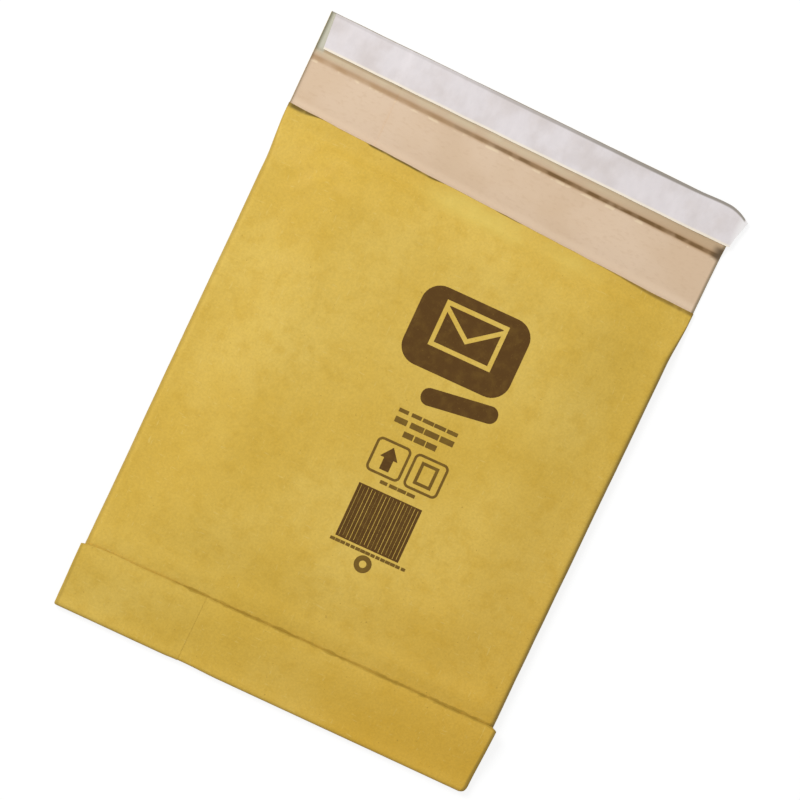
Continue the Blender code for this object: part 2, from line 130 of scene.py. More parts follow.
@dataclass(frozen=True)
class BagSizes:
    """Sizes of the bag. The solids have thicker plies, which lie further apart, in the same outer shape."""

    flat_width: float = 0.2277
    mouth: Ends = (0.2774, 0.2659)
    origin_from_fold: float = 0.1380
    paper: float = 0.00014
    padding: float = 0.0024
    gap: float = 0.00005
    glue: float = 0.00004
    padding_edge: float = 0.0005
    padding_ramp: float = 0.0140
    foot_ramp: float = 0.0300
    mouth_ramp: float = 0.0260
    padding_below_mouth: float = 0.0050
    padding_above_fold: float = 0.0010
    flat_thickness: float = 0.0022
    padded_thickness: float = 0.0072
    leg_end_thickness: float = 0.0013
    bend_axis: float = 0.0024
    crown: float = 0.0052
    mouth_crown: float = 0.0017
    crown_share: float = 0.42
    crown_foot: float = 0.0010
    crown_growth: float = 0.0420
    turn_up: float = 0.03575
    turn_up_flare: float = 0.0003
    lap_edge_x: float = -0.0660
    lap_overlap: float = 0.0200
    lap_margin: float = 0.0040
    lap_step: float = 0.0180
    lap_tuck: float = 0.0070
    raw_edge_stagger: float = 0.0009
    crease_above_mouth: Ends = (0.0256, 0.0311)
    band_above_crease: Ends = (0.0054, 0.0061)
    tape_width: Ends = (0.0188, 0.0195)
    crease_lift: float = 0.0020
    top_lift: float = 0.0015

    @property
    def half(self) -> float:
        """Half the flat bag's width."""
        return self.flat_width / 2

    @property
    def plies(self) -> float:
        """Thickness of two plies that lie on each other."""
        return 2 * self.paper + self.gap

    @property
    def lift(self) -> float:
        """How far the padding holds the plies apart."""
        return self.padding + self.gap

    @property
    def lap_base(self) -> float:
        """Height of the inner web over the floor where it lies on the outer web."""
        return self.plies + 2 * self.gap + self.glue

    @property
    def girth(self) -> float:
        """Length of the outer ply round the tube."""
        return 2 * self.flat_width + (math.pi - 2) * self.flat_thickness

    @property
    def rim_fill(self) -> float:
        """Fill of the tube at the padding's rim."""
        return (self.gap + self.padding_edge) / self.lift

    @property
    def padding_foot(self) -> float:
        """Where the padding starts above the fold."""
        return self.bend_axis + self.padding_above_fold

    @property
    def outer_web_end(self) -> float:
        """Where the outer web ends across the bag."""
        return self.lap_edge_x + self.lap_overlap

    @property
    def inner_web_end(self) -> float:
        """Where the inner ply of the outer web ends, short of its tucked outer ply."""
        return self.outer_web_end - 1.1 * self.lap_tuck

    @property
    def lap_foot(self) -> float:
        """Where the inner web starts to climb on to the outer one."""
        return self.outer_web_end + self.lap_margin + self.lap_step

    @property
    def crease(self) -> Ends:
        """The flap's crease above the fold, at its left and right ends."""
        return tuple(low + rise for low, rise in zip(self.mouth, self.crease_above_mouth))

    @property
    def tape_lower(self) -> Ends:
        """The closing tape's lower edge above the fold."""
        return tuple(low + rise for low, rise in zip(self.crease, self.band_above_crease))

    @property
    def flap_top(self) -> Ends:
        """The flap's top edge above the fold."""
        return tuple(low + rise for low, rise in zip(self.tape_lower, self.tape_width))

    def fill_above_fold(self, y: float) -> float:
        """Return how far the padding fills the pouch at a distance above the fold, near its lower end."""
        return smooth((y - self.padding_foot) / self.foot_ramp)

    def front_top(self, y: float) -> float:
        """Return the ideal height of the front, above the fold, near its lower end."""
        return mixed(self.flat_thickness, self.padded_thickness, self.fill_above_fold(y))

    def slanted(self, ends: Ends, x: float) -> float:
        """Return the distance of a slanted line above the fold at a place across the bag."""
        return mixed(ends[0], ends[1], x / self.flat_width + 0.5)


# The paper's unevenness


@dataclass(frozen=True)
class Wrinkle:
    """A soft ridge in the front from start to end, or a groove where its height is less than 0."""

    start: Point
    end: Point
    height: float
    width: float

    def at(self, x: float, y: float) -> float:
        """Return the wrinkle's height at a place, which fades towards the ends of the line.

        Args:
            x: Place across the bag.
            y: Place above the fold.

        Returns:
            The height.
        """
        along = Vector(self.end) - Vector(self.start)
        past = Vector((x, y)) - Vector(self.start)
        share = past.dot(along) / along.length_squared
        aside = abs(past.cross(along)) / along.length
        if share < -0.1 or share > 1.1 or aside > 3 * self.width:
            return 0.0
        fade = smooth((share + 0.1) / 0.25) * smooth((1.1 - share) / 0.25)
        return self.height * bell(aside, self.width) * fade


@dataclass(frozen=True)
class Hump:
    """A soft rise or dip of the front round one place."""

    middle: Point
    height: float
    width: float
    length: float

    def at(self, x: float, y: float) -> float:
        """Return the hump's height at a place across the bag and above the fold."""
        return self.height * bell(x - self.middle[0], self.width) * bell(y - self.middle[1], self.length)


@dataclass(frozen=True)
class Unevenness:
    """How the paper departs from its ideal folded shape.

    Lumps have a height, a length and a seed. A lip height has a place across the bag, a height and a width.
    """

    sizes: BagSizes
    lumps: tuple[Triple, ...] = ((0.00008, 0.009, 1), (0.00020, 0.028, 2), (0.00050, 0.075, 3))
    side_margin: float = 0.0015
    side_fade: float = 0.012
    flap_waves: float = 0.00035
    flap_margin: float = 0.002
    flap_fade: float = 0.012
    leg_fade: float = 0.012
    edge_wobble: float = 0.00022
    shear: float = 0.0085
    shear_middle: float = 0.165
    fold_drop: Ends = (0.0003, 0.0021)
    fold_drop_fade: float = 0.0450
    pillow: float = 0.0011
    pillow_above: float = 0.0075
    pillow_width: float = 0.0055
    pillow_from: float = -0.085
    pillow_growth: float = 0.030
    raw_edge_wobble: float = 0.00030
    corner_radius: float = 0.0042
    lip_depth: float = 0.022
    wrinkles: tuple[Wrinkle, ...] = (
        Wrinkle((-0.0300, 0.1660), (-0.0295, 0.0400), -0.00022, 0.0016),
        Wrinkle((0.0070, 0.0850), (0.0065, 0.0370), -0.00018, 0.0015),
        Wrinkle((-0.0430, 0.2020), (-0.0270, 0.2150), -0.00026, 0.0020),
        Wrinkle((-0.0400, 0.2060), (-0.0250, 0.2190), 0.00018, 0.0022),
        Wrinkle((-0.0990, 0.2420), (-0.0810, 0.2580), -0.00028, 0.0024),
        Wrinkle((-0.0950, 0.2380), (-0.0780, 0.2520), 0.00020, 0.0026),
        Wrinkle((0.0700, 0.0600), (0.0950, 0.0480), -0.00018, 0.0022),
        Wrinkle((-0.0900, 0.0950), (-0.0760, 0.1180), -0.00014, 0.0024),
        Wrinkle((0.0800, 0.1900), (0.0980, 0.2140), -0.00015, 0.0024),
    )
    humps: tuple[Hump, ...] = (
        Hump((0.0250, 0.2540), 0.00060, 0.0300, 0.0130),
        Hump((-0.0550, 0.2450), 0.00045, 0.0220, 0.0160),
        Hump((0.0850, 0.1000), 0.00040, 0.0200, 0.0400),
        Hump((-0.0800, 0.1400), 0.00035, 0.0200, 0.0500),
        Hump((0.0600, 0.0390), -0.00050, 0.0450, 0.0045),
    )
    lip_heights: tuple[Triple, ...] = (
        (-0.0990, 0.0007, 0.0080),
        (-0.0800, -0.0003, 0.0070),
        (-0.0460, 0.0006, 0.0140),
        (0.0350, -0.0010, 0.0400),
        (0.0980, 0.0005, 0.0090),
    )

    def front(self, x: float, y: float) -> float:
        """Return how far the front stands above its ideal height, with lumps, wrinkles and a wavy lip.

        Args:
            x: Place across the bag.
            y: Place above the fold.

        Returns:
            The height.
        """
        height = sum(size * waves(x, y, length, seed) for size, length, seed in self.lumps)
        height += sum(wrinkle.at(x, y) for wrinkle in self.wrinkles)
        height += sum(hump.at(x, y) for hump in self.humps)
        swelling = self.pillow * mixed(0.35, 1.0, smooth((x - self.pillow_from) / self.pillow_growth))
        swelling *= 1 + 0.35 * waves(x, 0.0, 0.030, 4)
        height += swelling * bell(y - self.sizes.turn_up - self.pillow_above, self.pillow_width)
        near_lip = smooth(1 - (self.sizes.slanted(self.sizes.mouth, x) - y) / self.lip_depth)
        if near_lip:
            lip = sum(rise * bell(x - middle, width) for middle, rise, width in self.lip_heights)
            height += near_lip * lip
        return height * smooth((self.sizes.half - self.side_margin - abs(x)) / self.side_fade)

    def flap(self, x: float, y: float) -> float:
        """Return how far the flap stands above its ideal height, which is never less than 0.

        Args:
            x: Place across the bag.
            y: Place above the fold.

        Returns:
            The height.
        """
        past_mouth = y - self.sizes.slanted(self.sizes.mouth, x) - self.flap_margin
        swell = 0.5 + 0.5 * waves(x, y, 0.040, 5) + 0.25 * waves(x, y, 0.016, 6)
        return self.flap_waves * smooth(past_mouth / self.flap_fade) * max(swell, 0.0)

    def shaped(self, run: Run, x: float, y: float, z: float) -> Vector:
        """Move a point of the ideal bag to its place on the real one.

        Args:
            run: Where the point lies along the tube.
            x: Place across the bag.
            y: Place above the fold.
            z: Height over the floor.

        Returns:
            The point in the bag's own frame, whose origin lies under the pouch.
        """
        sizes = self.sizes
        if run is Run.FLAP:
            z += self.flap(x, y)
        else:
            on_front = z
            if run is Run.LEG:
                on_front = mixed(z, sizes.front_top(y), smooth((y - sizes.bend_axis) / self.leg_fade))
            z += self.front(x, y) * smooth(on_front / sizes.padded_thickness)
        side = x / sizes.half
        wobble = self.edge_wobble * (waves(side, y, 0.060, 8) + 0.4 * waves(side, y, 0.014, 9))
        radius = self.corner_radius
        corner = x - (sizes.half - self.side_margin - radius)
        if corner > 0 and y < radius:
            inset = 0.75 * (radius - math.sqrt(radius**2 - (radius - max(y, 0.0)) ** 2))
            x -= inset * min(corner / radius, 1.0)
        drop = mixed(self.fold_drop[0], self.fold_drop[1], 0.5 + 0.5 * side)
        drop *= 1 - smooth(y / self.fold_drop_fade)
        x += wobble * side**3 + self.shear * (y - self.shear_middle)
        return Vector((x, y - drop - sizes.origin_from_fold, z))


# Folding


@dataclass(frozen=True)
class Station:
    """A column of a blank: its wall, its hand (-1 left, 1 right), and an angle, a share or a place there."""

    wall: Wall
    hand: int
    at: float


@dataclass(frozen=True)
class Row:
    """A row of a blank.

    Attributes:
        run: Where the row lies along the tube.
        at: Its distance above the fold at its left and right ends, or its angle round the bottom fold.
        fill: How far the padding fills the tube, from 0 to 1.
        crown: The share of the front's full rise.
        base: Height of the tube's lower face.
    """

    run: Run
    at: Ends
    fill: float = 0.0
    crown: float = 0.0
    base: float = 0.0


@dataclass(frozen=True)
class Cells:
    """Largest cells of a blank, by where they lie."""

    front: float
    web: float
    fold_steps: int
    along_leg: float
    along_pouch: float
    along_flap: float
    bend_steps: int


@dataclass(frozen=True)
class Folding:
    """Folds flat blanks into the bag."""

    sizes: BagSizes
    unevenness: Unevenness
    flap_angle: float = math.pi / 3
    corner_from: float = 0.1050
    corner_fall: float = 0.0022
    leg_corners: tuple[Ends, ...] = ((-0.1030, 0.0014), (0.1100, 0.0012))
    leg_climb: float = 0.004
    loose_web: float = 0.0840
    nick: float = 0.00022
    nicks_from: float = -0.070
    leg_stray_from: float = 0.029
    stray_fades: Triple = (0.006, 0.010, 0.012)

    def side(self, row: Row) -> float:
        """Return the distance from the middle of the tube to the centre of its side folds.

        Args:
            row: The row.

        Returns:
            The distance.
        """
        thickness = self.thickness(row)
        half_width = (self.sizes.girth - (math.pi - 2) * thickness) / 4
        if row.run is Run.LEG:
            half_width += self.sizes.turn_up_flare * row.at[0] / self.sizes.turn_up
        return half_width - thickness / 2

    def thickness(self, row: Row) -> float:
        """Return the tube's thickness at a row: the turned-up leg is pressed flat towards its raw edge.

        Args:
            row: The row.

        Returns:
            The thickness.
        """
        sizes = self.sizes
        if row.run is Run.LEG:
            pressed = smooth((row.at[0] - sizes.bend_axis) / (sizes.turn_up - sizes.bend_axis))
            return mixed(sizes.flat_thickness, sizes.leg_end_thickness, pressed)
        return mixed(sizes.flat_thickness, sizes.padded_thickness, row.fill)

    def leg_base(self, y: float) -> float:
        """Return how far the leg's upper face stands over the bottom fold, on its film of glue.

        Args:
            y: Place above the fold.

        Returns:
            The height.
        """
        sizes = self.sizes
        lying = sizes.front_top(y) + 2 * sizes.gap + sizes.glue + self.thickness(Row(Run.LEG, (y, y)))
        return mixed(0.0, lying - 2 * sizes.bend_axis, smooth((y - sizes.bend_axis) / self.leg_climb))

    def lift(self, row: Row, station: Station) -> float:
        """Return how far the padding holds the plies apart.

        Args:
            row: The row.
            station: The column.

        Returns:
            The gap between the plies.
        """
        sizes = self.sizes
        web_fill = 1.0
        if station.wall is Wall.WEB:
            rim = sizes.lap_foot + sizes.lap_margin
            if station.hand < 0:
                rim = sizes.lap_edge_x - sizes.lap_margin
            web_fill = smooth(station.hand * (station.at - rim) / sizes.padding_ramp)
        return sizes.lift * min(row.fill, web_fill)

    def web_base(self, station: Station) -> float:
        """Return the height of a web's outer face over the tube's lower face.

        Args:
            station: A column of the left web, whose end is tucked up to the right web, or of the right web,
                which climbs on to the left one.

        Returns:
            The height.
        """
        sizes = self.sizes
        if station.hand < 0:
            tucked = sizes.lap_base - sizes.paper - sizes.gap
            from_tuck = station.at - sizes.outer_web_end + sizes.lap_tuck
            return tucked * smooth(from_tuck / (0.8 * sizes.lap_tuck))
        return sizes.lap_base * smooth((sizes.lap_foot - station.at) / sizes.lap_step)

    def near_side(self, station: Station) -> float:
        """Return how near a web's column lies to its side fold, from 0 to 1."""
        return max(0.0, (abs(station.at) - self.loose_web) / (self.sizes.half - self.loose_web))

    def crown(self, row: Row, share: float) -> float:
        """Return the rise of the front over its side folds.

        Args:
            row: The row.
            share: Place from the front's left side, -1, to its right side, 1.

        Returns:
            The rise.
        """
        near_mouth = 1 - smooth(row.fill / self.sizes.rim_fill)
        rise = mixed(self.sizes.crown, self.sizes.mouth_crown, near_mouth)
        return rise * row.crown * smooth((1 - abs(share)) / self.sizes.crown_share)

    def place(self, row: Row, station: Station, depth: float) -> Vector:
        """Return where a point of a blank lies on the folded bag.

        Args:
            row: The row that the point lies on.
            station: The column that it lies on.
            depth: How far it lies under the tube's outer face.

        Returns:
            The point.
        """
        thickness = self.thickness(row)
        side = self.side(row)
        if station.wall is Wall.WEB:
            drawn_in = self.near_side(station) * (self.sizes.half - side)
            return self.laid(row, station.at - station.hand * drawn_in, self.web_base(station) + depth)
        if station.wall is Wall.FRONT:
            return self.laid(row, station.at * side, thickness + self.crown(row, station.at) - depth)
        radius = thickness / 2
        inner = radius - depth
        x = station.hand * (side + inner * math.sin(station.at))
        return self.laid(row, x, radius - inner * math.cos(station.at))

    def laid(self, row: Row, x: float, height: float) -> Vector:
        """Move a point of the flat tube to its place along the bag.

        Args:
            row: The row that the point lies on.
            x: Place across the bag.
            height: Height over the tube's lower face.

        Returns:
            The point on the folded, uneven bag.
        """
        axis = self.sizes.bend_axis
        if row.run is Run.LEG:
            y, z = row.at[0], row.base + 2 * axis - height
        elif row.run is Run.BEND:
            radius = axis - height
            y, z = axis - radius * math.sin(row.at[0]), axis - radius * math.cos(row.at[0])
        else:
            y, z = self.sizes.slanted(row.at, x), row.base + height
        return self.unevenness.shaped(row.run, x, y + self.raw_edge(row, x), z)

    def raw_edge(self, row: Row, x: float) -> float:
        """Return how far a cut edge strays from its line at a place across the bag.

        Args:
            row: A row, which strays only where it lies near an edge.
            x: Place across the bag.

        Returns:
            The distance along the bag.
        """
        sizes = self.sizes
        leg_fade, mouth_fade, top_fade = self.stray_fades
        stray = waves(x, 0.0, 0.022, 11) + 0.5 * waves(x, 0.0, 0.007, 12)
        stray *= self.unevenness.raw_edge_wobble
        if row.run is Run.LEG:
            nicks = self.nick * waves(x, 0.0, 0.0035, 13) * smooth((x - self.nicks_from) / 0.020)
            fall = 0.0
            for start, drop in self.leg_corners:
                past = (x - start) / (math.copysign(sizes.half, start) - start)
                fall += drop * max(0.0, past) ** 2
            return (1.2 * stray + nicks - fall) * smooth((row.at[0] - self.leg_stray_from) / leg_fade)
        if row.run is Run.FLAP:
            past = max(0.0, (x - self.corner_from) / (sizes.half - self.corner_from))
            near_top = smooth(1 - (sizes.flap_top[0] - row.at[0]) / top_fade)
            return near_top * (0.4 * stray - self.corner_fall * past**2)
        if row.run is Run.POUCH:
            return stray * smooth(1 - (sizes.mouth[0] - row.at[0]) / mouth_fade)
        return 0.0


@dataclass(frozen=True)
class Pattern:
    """Sets out the columns and rows of a blank.

    Attributes:
        folding: How the blank is folded.
        blank: Which blank it is.
        cells: Its cells.
        fold_inset: How far the web ends inside the flat bag's side.
        least_cell: Least height of the cell along the turn-up's raw edge.
        map_inset: How far the front's map ends inside it.
        map_round: Length of a side fold on the map.
        map_shift: How far past the side the web's map starts.
    """

    folding: Folding
    blank: Blank
    cells: Cells
    fold_inset: float = 0.0025
    least_cell: float = 0.0004
    map_inset: float = 0.0036
    map_round: float = 0.0061
    map_shift: float = 0.0022

    def stations(self) -> list[Station]:
        """Return the blank's columns, from its left edge round the front to its right edge.

        Returns:
            The columns in order.
        """
        sizes = self.folding.sizes
        left_end = sizes.inner_web_end if self.blank is Blank.INNER else sizes.outer_web_end
        right_end = sizes.lap_edge_x
        if self.blank is Blank.PADDING:
            left_end = sizes.lap_edge_x - sizes.lap_margin - sizes.rim_fill * sizes.padding_ramp
            right_end = sizes.lap_foot + sizes.lap_margin + sizes.rim_fill * sizes.padding_ramp
        reach = sizes.half - self.fold_inset
        angles = steps(0.0, math.pi, math.pi / self.cells.fold_steps)
        shares = steps(-1.0, 1.0, 2 * self.cells.front / sizes.flat_width)[1:-1]
        made = [Station(Wall.WEB, -1, x) for x in steps(left_end, -reach, self.cells.web)]
        made += [Station(Wall.FOLD, -1, angle) for angle in angles]
        made += [Station(Wall.FRONT, 1, share) for share in shares]
        made += [Station(Wall.FOLD, 1, angle) for angle in reversed(angles)]
        made += [Station(Wall.WEB, 1, x) for x in steps(reach, right_end, self.cells.web)]
        return made

    def leg_rows(self) -> list[Row]:
        """Return the rows from the raw edge of the turn-up down and round the bottom fold.

        Returns:
            The rows in order.
        """
        sizes = self.folding.sizes
        edge = sizes.turn_up - (sizes.raw_edge_stagger if self.blank is Blank.INNER else 0.0)
        heights = steps(sizes.turn_up, sizes.bend_axis, self.cells.along_leg)[:-1]
        heights = [edge] + [height for height in heights if height < edge - self.least_cell]
        angles = steps(math.pi, 0.0, math.pi / self.cells.bend_steps)
        made = [Row(Run.LEG, (y, y), base=self.folding.leg_base(y)) for y in heights]
        return made + [Row(Run.BEND, (angle, angle)) for angle in angles]

    def pouch_rows(self) -> list[Row]:
        """Return the rows from the bottom fold to the mouth.

        Returns:
            The rows in order.
        """
        sizes = self.folding.sizes
        grown = sizes.turn_up + sizes.crown_foot + sizes.crown_growth
        made = []
        for y in steps(sizes.bend_axis, grown, self.cells.along_pouch)[1:]:
            crown = smooth((y - sizes.turn_up - sizes.crown_foot) / sizes.crown_growth)
            made.append(Row(Run.POUCH, (y, y), sizes.fill_above_fold(y), crown))
        for below in steps(sizes.mouth[0] - grown, 0.0, self.cells.along_pouch)[1:]:
            share = 1 - below / (sizes.mouth[0] - grown)
            ends = tuple(mixed(grown, mouth, share) for mouth in sizes.mouth)
            fill = smooth((below - sizes.padding_below_mouth) / sizes.mouth_ramp)
            made.append(Row(Run.POUCH, ends, fill, 1.0))
        return made

    def flap_rows(self) -> list[Row]:
        """Return the rows of the flap, from just past the mouth to its top edge.

        Returns:
            The rows in order.
        """
        sizes = self.folding.sizes
        lines = (
            (sizes.mouth, 0.0),
            (sizes.crease, 0.0),
            (sizes.tape_lower, sizes.crease_lift),
            (sizes.flap_top, sizes.top_lift),
        )
        made = []
        for (low, low_base), (high, high_base) in zip(lines, lines[1:]):
            for rise in steps(0.0, high[0] - low[0], self.cells.along_flap)[1:]:
                share = rise / (high[0] - low[0])
                ends = tuple(mixed(below, above, share) for below, above in zip(low, high))
                made.append(Row(Run.FLAP, ends, 0.0, 1.0, mixed(low_base, high_base, share)))
        return made

    def rows(self) -> list[Row]:
        """Return all rows of the blank, from its lower to its upper edge.

        Returns:
            The rows in order.
        """
        if self.blank is Blank.PADDING:
            return [row for row in self.pouch_rows() if row.fill >= self.folding.sizes.rim_fill]
        return self.leg_rows() + self.pouch_rows() + self.flap_rows()

    def map_place(self, row: Row, station: Station) -> Point:
        """Return the place of a corner on the flat blank, for its finish.

        Args:
            row: The corner's row.
            station: The corner's column.

        Returns:
            The distance round the tube from the middle of the front, which passes half the bag's width at the
            side folds, and the distance above the fold at the bag's left side, less than 0 on the turn-up.
        """
        sizes = self.folding.sizes
        reach = sizes.half - self.map_inset
        if station.wall is Wall.FRONT:
            across = station.at * reach
        elif station.wall is Wall.FOLD:
            across = station.hand * (reach + (math.pi - station.at) * self.map_round / math.pi)
        else:
            past_fold = self.map_shift * self.folding.near_side(station)
            across = station.hand * (sizes.flat_width - abs(station.at) + past_fold)
        if row.run is Run.LEG:
            return across, -row.at[0]
        if row.run is Run.BEND:
            return across, sizes.bend_axis * (1 - 2 * row.at[0] / math.pi)
        return across, row.at[0]

    def on_flap(self, station: Station) -> bool:
        """Tell whether the paper at a column runs on past the mouth."""
        on_fold = station.wall is Wall.FOLD and station.at <= self.folding.flap_angle + 1e-6
        return on_fold or station.wall is Wall.WEB


# Work by hand with Blender's operators


class Bench:
    """Makes and finishes meshes with Blender's own operators."""

    @staticmethod
    def clear_selection() -> None:
        """Leave edit mode and deselect everything."""
        if bpy.context.object and bpy.context.object.mode != "OBJECT":
            bpy.ops.object.mode_set(mode="OBJECT")
        bpy.ops.object.select_all(action="DESELECT")

    @staticmethod
    def pick(piece: Piece) -> None:
        """Select one piece alone and make it the active one.

        Args:
            piece: The piece.
        """
        Bench.clear_selection()
        piece.select_set(True)
        bpy.context.view_layer.objects.active = piece

    @staticmethod
    @contextmanager
    def editing(piece: Piece) -> Iterator[None]:
        """Hold a piece in edit mode, with all of it selected at first.

        Args:
            piece: The piece.

        Yields:
            Nothing, while the piece is in edit mode.
        """
        Bench.pick(piece)
        bpy.ops.object.mode_set(mode="EDIT")
        bpy.ops.mesh.select_all(action="SELECT")
        yield
        bpy.ops.object.mode_set(mode="OBJECT")

    @staticmethod
    def grid(name: str, columns: int, rows: int) -> Piece:
        """Add a flat grid whose corners lie on whole numbers.

        Args:
            name: Name of the new piece.
            columns: Cells across it.
            rows: Cells along it.

        Returns:
            The grid, with its lower left corner at the origin.
        """
        Bench.clear_selection()
        bpy.ops.mesh.primitive_grid_add(x_subdivisions=columns, y_subdivisions=rows, size=1.0)
        piece = bpy.context.object
        piece.name = name
        piece.data.name = name
        for vertex in piece.data.vertices:
            vertex.co.x = round((vertex.co.x + 0.5) * columns)
            vertex.co.y = round((vertex.co.y + 0.5) * rows)
        return piece

    @staticmethod
    def cut_cells(piece: Piece, unwanted: Callable[[int, int], bool]) -> None:
        """Delete the cells of a grid that its blank doesn't have.

        Args:
            piece: The grid.
            unwanted: Tells from its column and row whether a cell is cut.
        """
        with Bench.editing(piece):
            bpy.ops.mesh.select_mode(type="FACE")
            bpy.ops.mesh.select_all(action="DESELECT")
        for face in piece.data.polygons:
            face.select = unwanted(int(face.center.x), int(face.center.y))
        bpy.ops.object.mode_set(mode="EDIT")
        bpy.ops.mesh.delete(type="FACE")
        bpy.ops.object.mode_set(mode="OBJECT")

    @staticmethod
    def move_points(piece: Piece, place: Callable[[Vector], Vector]) -> None:
        """Move each corner of a piece to the place that a function gives.

        Args:
            piece: The piece.
            place: Gives a corner's new place from its old one.
        """
        for vertex in piece.data.vertices:
            vertex.co = place(vertex.co.copy())
        piece.data.update()

    @staticmethod
    def lay_map(piece: Piece, place: Callable[[Vector], Point]) -> None:
        """Give a grid the map that its finish reads, before its corners move.

        Args:
            piece: The grid.
            place: Gives the place on the flat sheet of a corner of the grid.
        """
        places = [place(vertex.co) for vertex in piece.data.vertices]
        sheet_map = piece.data.uv_layers.new(name=SHEET_MAP)
        for corner in piece.data.loops:
            sheet_map.data[corner.index].uv = places[corner.vertex_index]

    @staticmethod
    def thicken(piece: Piece, thickness: float, offset: float, even: bool = True) -> None:
        """Give a sheet its wall with an applied Solidify, and shade it smooth.

        Args:
            piece: The sheet.
            thickness: Thickness of the wall.
            offset: -1 to grow inwards, 1 to grow outwards.
            even: Whether the wall keeps its thickness round bends.
        """
        Bench.pick(piece)
        wall = piece.modifiers.new("paper_wall", "SOLIDIFY")
        wall.thickness = thickness
        wall.offset = offset
        wall.use_even_offset = even
        wall.use_rim = True
        bpy.ops.object.modifier_apply(modifier=wall.name)
        Bench.soften(piece)

    @staticmethod
    def soften(piece: Piece, degrees: float = 40.0) -> None:
        """Shade a piece smooth, apart from edges sharper than an angle."""
        Bench.pick(piece)
        bpy.ops.object.shade_smooth_by_angle(angle=math.radians(degrees))

    @staticmethod
    def slab(
        name: str, columns: int, rows: int, place: Callable[[Vector], Vector], degrees: float = 40.0
    ) -> Piece:
        """Make a thin closed slab.

        Args:
            name: Name of the new piece.
            columns: Cells across it.
            rows: Cells along it.
            place: Gives the place of a corner from its column, its line and its face, 0 or 1.
            degrees: Sharpest angle that is shaded smooth.

        Returns:
            The slab.
        """
        piece = Bench.grid(name, columns, rows)
        with Bench.editing(piece):
            bpy.ops.mesh.extrude_region_move(TRANSFORM_OT_translate={"value": (0.0, 0.0, 1.0)})
        Bench.move_points(piece, place)
        with Bench.editing(piece):
            bpy.ops.mesh.normals_make_consistent(inside=False)
        Bench.soften(piece, degrees)
        return piece

    @staticmethod
    def slice_up(piece: Piece, cell: float) -> None:
        """Cut a flat piece along evenly spaced lines both ways, so that it can follow a curved surface.

        Args:
            piece: The flat piece.
            cell: Distance between the lines.
        """
        corners = [vertex.co.copy() for vertex in piece.data.vertices]
        with Bench.editing(piece):
            for axis, normal in enumerate((Vector((1, 0, 0)), Vector((0, 1, 0)))):
                places = [corner[axis] for corner in corners]
                for at in steps(min(places), max(places), cell)[1:-1]:
                    bpy.ops.mesh.select_all(action="SELECT")
                    bpy.ops.mesh.bisect(plane_co=at * normal, plane_no=normal)

    @staticmethod
    def hand_over(piece: Piece, material: bpy.types.Material, slot: str, node: str) -> None:
        """Give a finished piece its finish, and name what it rides on and what it stands for.

        Args:
            piece: The finished piece.
            material: Its finish.
            slot: Not used.
            node: The node that it replaces.
        """
        piece.data.materials.append(material)
        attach(piece, BODY)
        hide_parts(node)
        LOG.info("%s: %d faces, stands for %s", piece.name, len(piece.data.polygons), node)


# Paper tube


